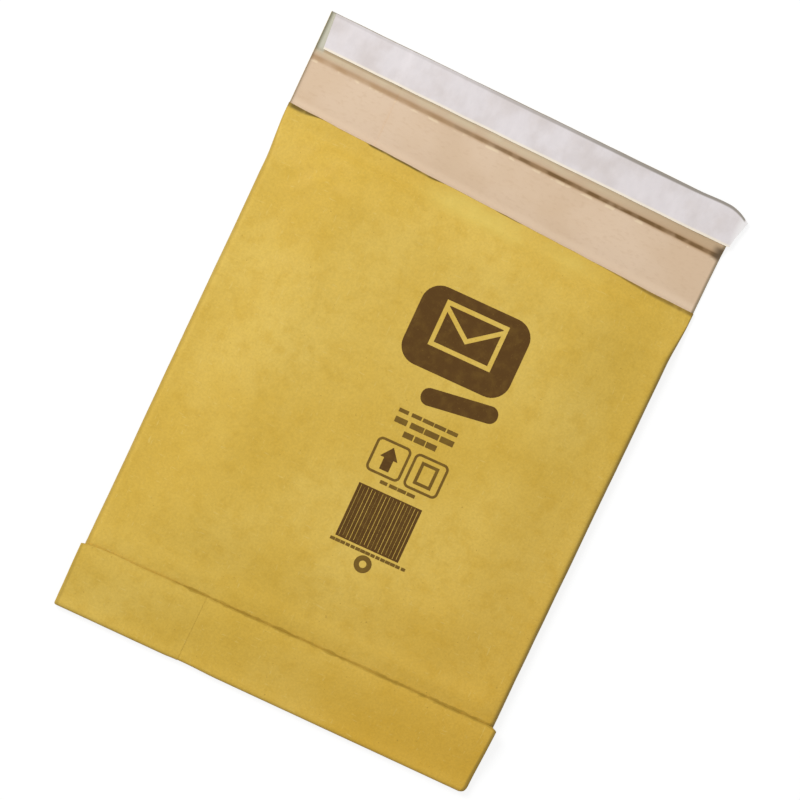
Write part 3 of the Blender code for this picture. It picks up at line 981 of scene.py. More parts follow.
@dataclass
class PaperTube:
    """The folded plies, the padding between them and the glue that holds the tube."""

    folding: Folding
    ply_cells: Cells = Cells(0.0021, 0.0030, 10, 0.0017, 0.0021, 0.0018, 12)
    padding_cells: Cells = Cells(0.0046, 0.0060, 8, 0.0046, 0.0046, 0.0046, 8)
    padding_lumps: float = 0.00022
    lump_cell: float = 0.006
    lump_length: float = 0.013
    lump_seed: int = 20
    lap_glue_margin: float = 0.0015
    lap_glue_cell: float = 0.004
    turn_up_glue_margin: float = 0.0060
    turn_up_glue_cells: tuple[int, int] = (70, 6)
    turn_up_glue_stray: float = 0.0009
    pieces: dict[str, Piece] = field(default_factory=dict)

    def fold_ply(self, name: str, blank: Blank, depth: Callable[[Row, Station], float]) -> None:
        """Fold one paper ply.

        Args:
            name: Name of the piece.
            blank: The ply's blank.
            depth: How far the ply's outer face lies under the tube's outer face.
        """
        pattern = Pattern(self.folding, blank, self.ply_cells)
        stations = pattern.stations()
        rows = pattern.rows()
        mouth_row = len(rows) - len(pattern.flap_rows()) - 1
        piece = Bench.grid(name, len(stations) - 1, len(rows) - 1)

        def beyond_mouth(column: int, row: int) -> bool:
            """Tell whether a cell of the grid would lie past the mouth, off the flap."""
            both = pattern.on_flap(stations[column]) and pattern.on_flap(stations[column + 1])
            return row >= mouth_row and not both

        def flat(corner: Vector) -> Point:
            """Return the place on the flat blank of a corner of the grid."""
            return pattern.map_place(rows[round(corner.y)], stations[round(corner.x)])

        def folded(corner: Vector) -> Vector:
            """Return the place on the folded bag of a corner of the grid."""
            row, station = rows[round(corner.y)], stations[round(corner.x)]
            return self.folding.place(row, station, depth(row, station))

        Bench.cut_cells(piece, beyond_mouth)
        Bench.lay_map(piece, flat)
        Bench.move_points(piece, folded)
        Bench.thicken(piece, self.folding.sizes.paper, -1.0)
        self.pieces[name] = piece

    def inner_depth(self, row: Row, station: Station) -> float:
        """Return how far the inner ply's outer face lies under the tube's outer face."""
        sizes = self.folding.sizes
        return sizes.paper + sizes.gap + self.folding.lift(row, station)

    def build_padding(self) -> None:
        """Lay the lumpy fibre padding between the plies."""
        sizes = self.folding.sizes
        pattern = Pattern(self.folding, Blank.PADDING, self.padding_cells)
        stations = pattern.stations()
        rows = pattern.rows()

        def folded(corner: Vector) -> Vector:
            """Return the place in the tube of a corner of the slab, with the fibre's lumps.

            Args:
                corner: A corner of the slab, by its column, its line and its face.

            Returns:
                Its place.
            """
            column, line, face = round(corner.x), round(corner.y), round(corner.z)
            row, station = rows[line], stations[column]
            thickness = self.folding.lift(row, station) - sizes.gap
            lump = self.padding_lumps * min(1.0, thickness / sizes.padding)
            x, y = self.lump_cell * column, self.lump_cell * line
            lump *= 0.5 + 0.5 * waves(x, y, self.lump_length, self.lump_seed + face)
            depth = sizes.paper + sizes.gap + thickness * face + lump * (1 - 2 * face)
            return self.folding.place(row, station, depth)

        piece = Bench.slab("fibre_pad", len(stations) - 1, len(rows) - 1, folded, 60.0)
        self.pieces["fibre_pad"] = piece

    def build_lap_glue(self) -> None:
        """Lay the line of glue between the two lapped webs."""
        sizes = self.folding.sizes
        rows = Pattern(self.folding, Blank.INNER, self.ply_cells).rows()
        left = sizes.lap_edge_x + self.lap_glue_margin
        right = sizes.inner_web_end - self.lap_glue_margin
        across = steps(left, right, self.lap_glue_cell)

        def folded(corner: Vector) -> Vector:
            """Return the place between the webs of a corner of the slab."""
            height = sizes.plies + sizes.gap + sizes.glue * corner.z
            return self.folding.laid(rows[round(corner.y)], across[round(corner.x)], height)

        name = "lap_glue_line"
        self.pieces[name] = Bench.slab(name, len(across) - 1, len(rows) - 1, folded)

    def build_turn_up_glue(self) -> None:
        """Spread the glue that holds the turn-up to the front, with an uneven rim."""
        sizes = self.folding.sizes
        columns, rows = self.turn_up_glue_cells
        reach = sizes.half - self.turn_up_glue_margin
        low = sizes.padding_foot + sizes.foot_ramp / 2
        high = sizes.turn_up - self.turn_up_glue_margin

        def spread(corner: Vector) -> Vector:
            """Return the place on the front of a corner of the slab.

            Args:
                corner: A corner of the slab, by its column, its line and its face.

            Returns:
                Its place.
            """
            x = mixed(-reach, reach, corner.x / columns)
            y = mixed(low, high, corner.y / rows)
            if corner.y in (0, rows):
                y += self.turn_up_glue_stray * waves(x, y, 0.009, 31)
            z = sizes.front_top(y) + sizes.gap + sizes.glue * corner.z
            return self.folding.unevenness.shaped(Run.LEG, x, y, z)

        name = "turn_up_glue_film"
        self.pieces[name] = Bench.slab(name, columns, rows, spread)

    def build(self) -> None:
        """Make every piece of the tube."""
        self.fold_ply("outer_ply", Blank.OUTER, lambda row, station: 0.0)
        self.fold_ply("inner_ply", Blank.INNER, self.inner_depth)
        self.build_padding()
        self.build_lap_glue()
        self.build_turn_up_glue()

    def dress(self) -> None:
        """Give each piece its finish and hand it over."""
        gold = GoldKraft(self.folding.sizes).material()
        beige = BeigeKraft(self.folding.sizes).material()
        glue = GlueFilm("seam_glue_film", (222, 205, 168), 0.42).material()
        fibre = FibrePad().material()
        plan = (
            ("outer_ply", gold, "outer_kraft", "outer_sheet"),
            ("inner_ply", beige, "inner_kraft", "inner_sheet"),
            ("fibre_pad", fibre, "paper_fibre", "fibre_padding"),
            ("lap_glue_line", glue, "seam_glue", "lap_seam_glue"),
            ("turn_up_glue_film", glue, "seam_glue", "turn_up_glue"),
        )
        for name, material, slot, node in plan:
            Bench.hand_over(self.pieces[name], material, slot, node)


# Closing tape


@dataclass
class ClosingTape:
    """The strip of adhesive on the flap and the peel-off liner over it."""

    folding: Folding
    adhesive: float = 0.0001
    adhesive_inset: float = 0.0080
    adhesive_margin: float = 0.0015
    adhesive_rows: int = 8
    liner: float = 0.00012
    liner_left_inset: Ends = (0.0042, 0.0028)
    liner_overhang: Ends = (0.0012, 0.0046)
    liner_top_margin: float = 0.0003
    liner_rows: int = 13
    liner_map: float = 0.0198
    edge_stray: Ends = (0.00022, 0.00025)
    end_stray: float = 0.00035
    corner_length: float = 0.0120
    corner_drop: float = 0.0042
    corner_rise: float = 0.0005
    corner_swell: float = 0.0006
    swell_x: float = 0.103
    end_sag: float = 0.0004
    crinkle: float = 0.00016
    rim_share: float = 0.18
    cell: float = 0.0016
    pieces: dict[str, Piece] = field(default_factory=dict)

    def bed(self, x: float, share: float) -> float:
        """Return the height of the flap's upper face in the tape zone.

        Args:
            x: Place across the bag.
            share: Place from the tape's lower edge to the flap's top edge, from 0 to 1.

        Returns:
            The height, over the hump of the lap seam.
        """
        sizes = self.folding.sizes
        foot = sizes.lap_edge_x - sizes.lap_margin
        climb = smooth((x - foot) / (sizes.lap_margin / 2))
        hump = climb * smooth((sizes.lap_foot - x) / sizes.lap_step)
        return mixed(sizes.crease_lift, sizes.top_lift, share) + sizes.plies + sizes.lap_base * hump

    def build_adhesive(self) -> None:
        """Lay the strip of contact adhesive."""
        sizes = self.folding.sizes
        reach = sizes.half - self.adhesive_inset
        across = steps(-reach, reach, self.cell)

        def laid(corner: Vector) -> Vector:
            """Return the place on the flap of a corner of the slab.

            Args:
                corner: A corner of the slab, by its column, its line and its face.

            Returns:
                Its place.
            """
            x, share = across[round(corner.x)], corner.y / self.adhesive_rows
            low = sizes.slanted(sizes.tape_lower, x) + self.adhesive_margin
            high = sizes.slanted(sizes.flap_top, x) - self.liner_top_margin - self.adhesive_margin
            z = self.bed(x, share) + sizes.gap + self.adhesive * corner.z
            return self.folding.unevenness.shaped(Run.FLAP, x, mixed(low, high, share), z)

        name = "adhesive_strip"
        self.pieces[name] = Bench.slab(name, len(across) - 1, self.adhesive_rows, laid)

    def build_liner(self) -> None:
        """Lay the liner, which overhangs the flap at the right, where its corner falls."""
        sizes = self.folding.sizes
        columns = math.ceil(sizes.flat_width / self.cell)
        clear = sizes.gap + self.adhesive + sizes.gap
        piece = Bench.grid("liner_strip", columns, self.liner_rows)

        def on_liner(corner: Vector) -> Point:
            """Return the place of a corner across the bag and above the liner's lower edge, as a share.

            Args:
                corner: A corner of the grid.

            Returns:
                Its place and its share.
            """
            share = corner.y / self.liner_rows
            left = mixed(self.liner_left_inset[0], self.liner_left_inset[1], share) - sizes.half
            right = sizes.half + mixed(self.liner_overhang[0], self.liner_overhang[1], share)
            return mixed(left, right, corner.x / columns), share

        def laid(corner: Vector) -> Vector:
            """Return the place over the flap of a corner of the liner.

            Args:
                corner: A corner of the grid.

            Returns:
                Its place.
            """
            x, share = on_liner(corner)
            past = max(0.0, (x - sizes.half - self.liner_overhang[1]) / self.corner_length + 1)
            low = sizes.slanted(sizes.tape_lower, x) + self.corner_rise * past**2
            low += self.edge_stray[0] * waves(x, 0.0, 0.018, 41)
            high = sizes.slanted(sizes.flap_top, x) - self.liner_top_margin - self.corner_drop * past**2
            high += self.edge_stray[1] * waves(x, 0.0, 0.030, 42)
            high += self.corner_swell * bell(x - self.swell_x, 0.009)
            y = mixed(low, high, share)
            past_rim = max(-share, share - 1) / self.rim_share
            rim = max(smooth(1 + past_rim), smooth(past))
            ripple = 0.5 + 0.5 * waves(x, 0.4 * y, 0.0085, 43) + 0.35 * waves(x, y, 0.0045, 44)
            lift = self.crinkle * max(ripple, 0.0) * (0.6 + 1.4 * rim)
            z = self.bed(min(x, sizes.half), share) + clear + lift - self.end_sag * past**4
            moved = self.folding.unevenness.shaped(Run.FLAP, x, y, z)
            if corner.x == columns:
                moved.x += self.end_stray * waves(y, 0.0, 0.006, 45)
            return moved

        def on_map(corner: Vector) -> Point:
            """Return the place of a corner on the liner's own map."""
            x, share = on_liner(corner)
            return x, self.liner_map * share

        Bench.lay_map(piece, on_map)
        Bench.move_points(piece, laid)
        Bench.thicken(piece, self.liner, 1.0)
        self.pieces["liner_strip"] = piece

    def build(self) -> None:
        """Make both strips."""
        self.build_adhesive()
        self.build_liner()

    def dress(self) -> None:
        """Give both strips their finish and hand them over."""
        adhesive = GlueFilm("contact_adhesive", (214, 200, 172), 0.30).material()
        liner = LinerPaper(self.folding.sizes).material()
        Bench.hand_over(self.pieces["adhesive_strip"], adhesive, "tape_adhesive", "flap_adhesive")
        Bench.hand_over(self.pieces["liner_strip"], liner, "release_liner", "release_liner")


# Print


@dataclass
class FrontPrint:
    """Plain generic print on the front, as films of ink that follow the paper.

    Attributes:
        rows: Nodes that stand for lines of text, and their numbers of short bars.
        full: Nodes in full ink. The others are in light ink.
        pieces: The films, by the node that each stands for.
    """

    outer_ply: Piece
    ink: float = 0.00003
    clearance: float = 0.00005
    height_above: float = 0.004
    cell: float = 0.0016
    badge_radius: float = 0.0100
    chevron: Point = (0.0340, 0.0130)
    chevron_width: float = 0.0030
    envelope_line: float = 0.0024
    envelope_rise: float = 0.0010
    banner_tilt: float = math.radians(8)
    banner_size: Point = (0.0400, 0.0090)
    frame_radius: float = 0.0030
    frame_width: float = 0.0013
    arrow: Point = (0.0095, 0.0125)
    arrow_head: float = 1.9
    page_width: float = 0.0016
    bar_slots: int = 17
    slot_share: float = 0.12
    bars_rim: float = 0.0006
    short_slot: float = 0.0012
    ring_width: float = 0.0026
    ring_sides: int = 32
    rows: tuple[tuple[str, int], ...] = (
        ("print_line_top", 5),
        ("print_line_middle", 4),
        ("print_line_bottom", 3),
        ("print_caption", 4),
        ("print_footer", 15),
    )
    full: tuple[str, ...] = ("print_badge", "print_banner", "print_bars", "print_arrow")
    pieces: dict[str, Piece] = field(default_factory=dict)

    @staticmethod
    def node_size(node: str) -> Point:
        """Return the width and height of a print node."""
        low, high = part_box(node)
        return high.x - low.x, high.y - low.y

    @staticmethod
    def inset(size: Point, rim: float) -> Point:
        """Return the width and height that a rim leaves of a size."""
        return size[0] - 2 * rim, size[1] - 2 * rim

    @staticmethod
    def box(size: Point, x: float = 0.0) -> Outline:
        """Return the corners of a rectangle of a size, round a place across the shape."""
        half, rise = size[0] / 2, size[1] / 2
        return [(x - half, -rise), (x + half, -rise), (x + half, rise), (x - half, rise)]

    @staticmethod
    def rounded(size: Point, radius: float) -> Outline:
        """Return the outline of a rectangle with round corners.

        Args:
            size: Its width and height.
            radius: Radius of its corners.

        Returns:
            The outline's points in order.
        """
        outline = []
        middles = ((1, 1), (-1, 1), (-1, -1), (1, -1))
        for turn, (right, up) in enumerate(middles):
            for angle in steps(0.0, math.pi / 2, math.pi / 16):
                angle += turn * math.pi / 2
                x = right * (size[0] / 2 - radius) + radius * math.cos(angle)
                y = up * (size[1] / 2 - radius) + radius * math.sin(angle)
                outline.append((x, y))
        return outline

    def circle(self, radius: float) -> Outline:
        """Return points round a circle."""
        angles = [2 * math.pi * step / self.ring_sides for step in range(self.ring_sides)]
        return [(radius * math.cos(angle), radius * math.sin(angle)) for angle in angles]

    def film(self, node: str, outlines: Sequence[Outline], tilt: float = 0.0) -> None:
        """Print one shape at the middle of the node that it stands for.

        Args:
            node: The node that it replaces.
            outlines: Closed outlines round the shape's middle. One inside another leaves a bare place.
            tilt: How far the shape is turned.
        """
        name = "_".join(reversed(node.split("_")[1:])) + "_ink"
        low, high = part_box(node)
        drawing = bpy.data.curves.new(name, "CURVE")
        drawing.dimensions = "2D"
        drawing.fill_mode = "BOTH"
        for outline in outlines:
            line = drawing.splines.new("POLY")
            line.points.add(len(outline) - 1)
            for point, (x, y) in zip(line.points, outline):
                point.co = (x, y, 0.0, 1.0)
            line.use_cyclic_u = True
        piece = bpy.data.objects.new(name, drawing)
        bpy.context.collection.objects.link(piece)
        Bench.pick(piece)
        bpy.ops.object.convert(target="MESH")
        piece = bpy.context.object
        turn = Matrix.Rotation(tilt, 4, "Z")
        middle = Vector(((low.x + high.x) / 2, (low.y + high.y) / 2, high.z + self.height_above))
        piece.data.transform(Matrix.Translation(middle) @ turn)
        Bench.slice_up(piece, self.cell)
        self.press(piece)
        self.pieces[node] = piece

    def press(self, piece: Piece) -> None:
        """Lay a flat shape on the paper and give it the thickness of ink.

        Args:
            piece: The flat shape, over the paper.
        """
        Bench.pick(piece)
        lay = piece.modifiers.new("lay_on_paper", "SHRINKWRAP")
        lay.target = self.outer_ply
        lay.wrap_method = "PROJECT"
        lay.use_project_z = True
        lay.use_negative_direction = True
        lay.use_positive_direction = False
        lay.offset = self.clearance
        bpy.ops.object.modifier_apply(modifier=lay.name)
        with Bench.editing(piece):
            bpy.ops.mesh.remove_doubles(threshold=0.00001)
            bpy.ops.mesh.normals_make_consistent(inside=False)
        if sum(face.normal.z * face.area for face in piece.data.polygons) < 0:
            piece.data.flip_normals()
        Bench.thicken(piece, self.ink, 1.0, even=False)

    def print_badge(self) -> None:
        """Print the badge: a block that leaves the lines of a plain closed envelope bare."""
        size = self.node_size("print_badge")
        half, drop = self.chevron[0] / 2, self.chevron[1]
        side = half - self.envelope_line
        tip = size[1] / 2 - 1.5 * drop
        shoulder = tip + drop * side / half
        high = tip + drop + self.envelope_rise
        low = tip - 3.5 * self.chevron_width
        rim = [(-half, low), (half, low), (half, high), (-half, high)]
        ceiling, ground = high - self.envelope_line, low + self.envelope_line
        flap = [(-side, ceiling), (-side, shoulder), (0.0, tip), (side, shoulder), (side, ceiling)]
        under = shoulder - self.chevron_width
        notch = (0.0, tip - self.chevron_width)
        body = [(-side, under), notch, (side, under), (side, ground), (-side, ground)]
        self.film("print_badge", [self.rounded(size, self.badge_radius), rim, flap, body])

    def print_signs(self) -> None:
        """Print the two framed signs: an arrow that points up, and a page."""
        for node in ("print_frame_left", "print_frame_right"):
            size = self.node_size(node)
            inner = self.rounded(self.inset(size, self.frame_width), self.frame_radius - self.frame_width)
            self.film(node, [self.rounded(size, self.frame_radius), inner])
        half, rise = self.arrow[0] / 2, self.arrow[1] / 2
        stem = half / self.arrow_head
        arrow = [(0.0, rise), (-half, 0.0), (-stem, 0.0), (-stem, -rise)]
        arrow += [(stem, -rise), (stem, 0.0), (half, 0.0)]
        self.film("print_arrow", [arrow])
        size = self.node_size("print_page")
        self.film("print_page", [self.box(size), self.box(self.inset(size, self.page_width))])

    def print_bars(self) -> None:
        """Print the bar block, with a bare slot between neighbouring bars."""
        size = self.node_size("print_bars")
        inner, height = self.inset(size, self.bars_rim)
        pitch = inner / self.bar_slots
        outlines = [self.box(size)]
        for step in range(self.bar_slots):
            share = self.slot_share * (0.45 + 0.85 * abs(math.sin(2.4 * step + 0.6)))
            x = (step + 0.5 - self.bar_slots / 2) * pitch
            outlines.append(self.box((pitch * share, height - self.short_slot * (step % 3 == 1)), x))
        self.film("print_bars", outlines)

    def dashes(self, size: Point, count: int) -> list[Outline]:
        """Return uneven short bars that fill a row of a size.

        Args:
            size: Width and height of the row.
            count: Number of bars.

        Returns:
            The outlines of the bars, round the row's middle.
        """
        pitch = size[0] / count
        made = []
        for step in range(count):
            width = pitch * (0.88 + 0.08 * math.sin(5.1 * step + count))
            x = (step + 0.5 - count / 2) * pitch
            if step == 0:
                x = (width - size[0]) / 2
            if step == count - 1:
                x = (size[0] - width) / 2
            made.append(self.box((width, size[1]), x))
        return made

    def build(self) -> None:
        """Print every shape."""
        self.print_badge()
        banner = self.rounded(self.banner_size, self.banner_size[1] / 2 - 0.0002)
        self.film("print_banner", [banner], self.banner_tilt)
        for node, count in self.rows:
            self.film(node, self.dashes(self.node_size(node), count))
        self.print_signs()
        self.print_bars()
        radius = self.node_size("print_ring")[0] / 2
        self.film("print_ring", [self.circle(radius), self.circle(radius - self.ring_width)])

    def dress(self) -> None:
        """Give every shape the ink finish and hand it over."""
        full = BrownInk("full_ink").material()
        light = BrownInk("light_ink", (116, 88, 34), (130, 102, 38), (150, 120, 46)).material()
        for node, piece in self.pieces.items():
            Bench.hand_over(piece, full if node in self.full else light, "print_ink", node)


# Finishes


def display(colour: Colour) -> Span:
    """Return a colour given as shown on a display, from 0 to 255, as Blender's nodes take it.

    Args:
        colour: Its red, green and blue.

    Returns:
        The colour in linear light, with full cover.
    """
    made = []
    for channel in colour:
        share = channel / 255
        made.append(share / 12.92 if share <= 0.04045 else ((share + 0.055) / 1.055) ** 2.4)
    return made[0], made[1], made[2], 1.0


def grey(level: float) -> Span:
    """Return a plain grey, or white at 1, as Blender's nodes take it."""
    return level, level, level, 1.0


def add_node(
    tree: bpy.types.NodeTree, kind: str, inputs: Optional[dict] = None, **settings: str
) -> bpy.types.Node:
    """Add a node to a tree.

    Args:
        tree: The tree.
        kind: Blender's name of the node's type, without its first word.
        inputs: What its inputs take, by their names or numbers: sockets to link, or plain values.
        settings: The node's own settings.

    Returns:
        The node.
    """
    node = tree.nodes.new("ShaderNode" + kind)
    for name, setting in settings.items():
        setattr(node, name, setting)
    for name, value in (inputs or {}).items():
        if isinstance(value, Socket):
            tree.links.new(value, node.inputs[name])
        else:
            node.inputs[name].default_value = value
    return node


class NodeTable:
    """Lays out the nodes of one material."""

    def __init__(self, name: str) -> None:
        """Start a material whose only nodes are its output and its place on the object.

        Args:
            name: Name of the material.
        """
        self.material = bpy.data.materials.new(name)
        self.material.use_nodes = True
        self.tree = self.material.node_tree
        self.tree.nodes.clear()
        self.output = add_node(self.tree, "OutputMaterial")
        self.place = add_node(self.tree, "TexCoord").outputs["Object"]

    @cached_property
    def on_object(self) -> Sequence[Socket]:
        """The place on the object as three numbers."""
        return add_node(self.tree, "SeparateXYZ", {0: self.place}).outputs

    @cached_property
    def on_sheet(self) -> Sequence[Socket]:
        """The place on a sheet that has its own map: across it, and along it from its lower edge."""
        source = add_node(self.tree, "UVMap", uv_map=SHEET_MAP)
        return add_node(self.tree, "SeparateXYZ", {0: source.outputs[0]}).outputs

    @property
    def x(self) -> Socket:
        """The place across the object."""
        return self.on_object[0]

    @property
    def across(self) -> Socket:
        """The place across the sheet."""
        return self.on_sheet[0]

    @property
    def along(self) -> Socket:
        """The place along the sheet, from its lower edge."""
        return self.on_sheet[1]

    def math(self, operation: str, first: Value, second: Value = 0.0) -> Socket:
        """Add a sum of two numbers, under Blender's name of it."""
        return add_node(self.tree, "Math", {0: first, 1: second}, operation=operation).outputs[0]

    def product(self, *factors: Value) -> Socket:
        """Multiply several numbers."""
        return reduce(lambda first, second: self.math("MULTIPLY", first, second), factors)

    def moved(self, scale: Triple, turn: float = 0.0) -> Socket:
        """Return the place on the object, stretched and turned round the upright axis."""
        inputs = {"Scale": scale, "Rotation": (0.0, 0.0, turn), "Vector": self.place}
        return add_node(self.tree, "Mapping", inputs).outputs[0]

    def noise(
        self, length: float, detail: float = 2.0, place: Optional[Socket] = None, rough: float = 0.5
    ) -> Socket:
        """Add a noise pattern.

        Args:
            length: Rough size of its patches.
            detail: How many finer layers it has.
            place: Where it is looked up, if not the plain place on the object.
            rough: How strong the finer layers are.

        Returns:
            Its value, about 0.5 on average.
        """
        inputs = {"Scale": 1.0 / length, "Detail": detail, "Roughness": rough, "Vector": place or self.place}
        return add_node(self.tree, "TexNoise", inputs).outputs["Fac"]

    def ranged(
        self, value: Socket, low: float, high: float, to_low: float = 0.0, to_high: float = 1.0
    ) -> Socket:
        """Map a value smoothly from one range to another and keep it there.

        Args:
            value: The value.
            low: The value that gives the first end of the new range, which may exceed the other.
            high: The value that gives its other end.
            to_low: First end of the new range.
            to_high: Other end of the new range.

        Returns:
            The value in the new range.
        """
        inputs = {"Value": value, "From Min": low, "From Max": high, "To Min": to_low, "To Max": to_high}
        return add_node(self.tree, "MapRange", inputs, interpolation_type="SMOOTHSTEP").outputs[0]

    def patchy(self, length: float, low: float, high: float, to_low: float, to_high: float) -> Socket:
        """Return a noise pattern of a length, mapped to a new range."""
        return self.ranged(self.noise(length), low, high, to_low, to_high)

    def near(self, value: Socket, at: float, width: float, core: float = 0.2) -> Socket:
        """Return how near a value lies to a number.

        Args:
            value: The value.
            at: The number.
            width: How far from the number the result falls to 0.
            core: Share of that width within which the result is 1.

        Returns:
            The nearness, from 0 to 1.
        """
        aside = self.math("ABSOLUTE", self.math("SUBTRACT", value, at))
        return self.ranged(aside, width, core * width)

    def stretch(self, value: Socket, span: Span) -> Socket:
        """Return 1 in the middle of a span of a value, easing to 0 at its two outer ends."""
        return self.product(self.ranged(value, span[0], span[1]), self.ranged(value, span[3], span[2]))

    def past_side(self, half: float) -> Socket:
        """Return how far a place on the sheet lies past half the bag's width."""
        return self.math("SUBTRACT", self.math("ABSOLUTE", self.across), half)

    def blend(self, share: Socket, under: Union[Socket, Colour], over: Union[Socket, Colour]) -> Socket:
        """Mix two colours, each a socket or a display colour, by a share."""
        low, high = [entry if isinstance(entry, Socket) else display(entry) for entry in (under, over)]
        return add_node(self.tree, "Mix", {0: share, 6: low, 7: high}, data_type="RGBA").outputs[2]

    def marked(self, colour: Socket, *marks: tuple[Socket, Union[Socket, Colour]]) -> Socket:
        """Lay marks over a colour one after another, each a strength and its own colour.

        Args:
            colour: The colour under the marks.
            marks: Each mark's strength and colour.

        Returns:
            The colour with its marks.
        """
        for strength, over in marks:
            colour = self.blend(strength, colour, over)
        return colour

    def shaded(self, value: Socket, colour: Socket) -> Socket:
        """Multiply a colour by a brightness."""
        return add_node(self.tree, "VectorMath", {0: colour, "Scale": value}, operation="SCALE").outputs[0]

    def bump(self, height: Socket, depth: float, strength: float) -> Socket:
        """Return normals for a relief of a depth."""
        inputs = {"Strength": strength, "Distance": depth, "Height": height}
        return add_node(self.tree, "Bump", inputs).outputs[0]

    def close(self, shader: bpy.types.Node) -> bpy.types.Material:
        """Join a shader to the output, and return the material."""
        self.tree.links.new(shader.outputs[0], self.output.inputs["Surface"])
        return self.material

    def finish(self, colour: Socket, rough: Socket, normal: Socket, gloss: float) -> bpy.types.Material:
        """Close the material with a surface shader of a specular level, and return it.

        Args:
            colour: Base colour.
            rough: Roughness.
            normal: Normals with the relief.
            gloss: Specular level.

        Returns:
            The material.
        """
        inputs = {
            "Base Color": colour,
            "Roughness": rough,
            "Normal": normal,
            "Specular IOR Level": gloss,
        }
        return self.close(add_node(self.tree, "BsdfPrincipled", inputs))


@dataclass(frozen=True)
class GoldKraft:
    """Gold kraft paper: broad patches, mottling, short fibres and specks, with painted shade and a painted
    highlight.
    """

    sizes: BagSizes
    pale: Colour = (221, 188, 88)
    base: Colour = (213, 176, 69)
    deep: Colour = (203, 164, 54)
    # Painted shade towards the lower right corner.
    lower_right_shade: Colour = (212, 162, 38)
    fibre: Colour = (226, 197, 108)
    speck: Colour = (160, 123, 44)
    # Painted highlight on the front just under the mouth.
    mouth_highlight: Colour = (228, 206, 108)
    # Painted shadow in the gap under the front's mouth edge, darker at the left.
    lip_shadow_left: Colour = (112, 90, 32)
    lip_shadow_right: Colour = (146, 116, 44)
    # Painted shadow along the turn-up's raw edge.
    raw_edge_shadow: Colour = (178, 143, 46)
    # Painted shade on the rims at the folds.
    fold_shade: Colour = (142, 116, 46)
    thin_line: float = 0.00012
    # Spans and widths of the painted shadow along the mouth edge.
    lip_shadow_spans: tuple[tuple[Span, float], ...] = (
        ((-0.1300, -0.1120, -0.1060, -0.0900), 0.0030),
        ((-0.0700, -0.0655, -0.0330, -0.0240), 0.0014),
        ((0.0000, 0.0050, 0.0120, 0.0200), 0.0006),
        ((0.0500, 0.1000, 0.1200, 0.1400), 0.0027),
    )
    mouth_highlight_span: Span = (-0.0450, -0.0150, 0.0300, 0.0800)
    # Span of the painted shade past the side folds.
    fold_shade_span: Span = (-0.0032, -0.0018, 0.0026, 0.0038)

    def paper(self, table: NodeTable) -> tuple[Socket, Socket]:
        """Return the paper's colour and its relief.

        Args:
            table: The material's nodes.

        Returns:
            The colour and the height of the relief.
        """
        patches = table.ranged(table.noise(0.075, 3.0), 0.32, 0.68)
        mottle = table.noise(0.0075, 4.0, rough=0.6)
        colour = table.blend(patches, self.base, self.pale)
        colour = table.blend(table.ranged(mottle, 0.42, 0.74, 0.0, 0.44), colour, self.deep)
        # Painted shade: the paper turns deeper and darker towards the lower right corner, away from the lamp.
        towards_corner = table.math("SUBTRACT", table.x, table.product(table.on_object[1], 0.8))
        colour = table.blend(table.ranged(towards_corner, 0.02, 0.21, 0.0, 0.5), colour, self.lower_right_shade)
        grain = table.noise(0.0012, 5.0, rough=0.65)
        colour = table.shaded(table.ranged(grain, 0.25, 0.75, 0.93, 1.07), colour)
        along = table.noise(0.0010, 2.0, table.moved((1.0, 0.16, 1.0), 0.35))
        across = table.noise(0.0010, 2.0, table.moved((0.16, 1.0, 1.0), 0.5))
        fibres = table.math("MAXIMUM", along, across)
        colour = table.blend(table.ranged(fibres, 0.66, 0.76, 0.0, 0.45), colour, self.fibre)
        specks = table.noise(0.0016, 1.0, table.moved((1.0, 1.0, 1.0), 1.1))
        colour = table.blend(table.ranged(specks, 0.76, 0.80, 0.0, 0.5), colour, self.speck)
        height = table.math("ADD", table.product(mottle, 0.8), table.product(fibres, 0.5))
        return colour, table.math("ADD", height, table.product(grain, 0.4))

    def lip(self, table: NodeTable) -> Socket:
        """Return the strength of the painted shadow along the front's upper edge, which comes and goes.

        Args:
            table: The material's nodes.

        Returns:
            The strength.
        """
        width = self.thin_line
        for span, size in self.lip_shadow_spans:
            width = table.math("MAXIMUM", width, table.product(table.stretch(table.across, span), size))
        below = table.math("SUBTRACT", self.sizes.mouth[0], table.along)
        line = table.ranged(table.math("DIVIDE", below, width), 1.0, 0.35)
        on_front = table.ranged(table.math("ABSOLUTE", table.across), 0.1150, 0.1136)
        return table.product(line, on_front, table.patchy(0.006, 0.3, 0.55, 0.62, 0.95))

    def painted_mouth_highlight(self, table: NodeTable) -> Socket:
        """Return the strength of the painted highlight on the front, just under the mouth.

        Args:
            table: The material's nodes.

        Returns:
            The strength.
        """
        zone = table.stretch(table.across, self.mouth_highlight_span)
        level = table.near(table.along, self.sizes.mouth[0] - 0.0065, 0.0085, 0.2)
        return table.product(zone, level, table.patchy(0.020, 0.35, 0.65, 0.10, 0.50))

    def shaded_fold_rims(self, table: NodeTable) -> Socket:
        """Return the strength of the painted shade on the rims at the folds, which is darkest at the right.

        Args:
            table: The material's nodes.

        Returns:
            The strength.
        """
        at_side = table.stretch(table.past_side(self.sizes.half), self.fold_shade_span)
        at_side = table.product(at_side, table.ranged(table.across, -0.050, 0.050, 0.35, 0.80))
        at_bottom = table.product(table.near(table.along, 0.0, 0.0020, 0.3), 0.45)
        return table.math("MAXIMUM", at_side, at_bottom)

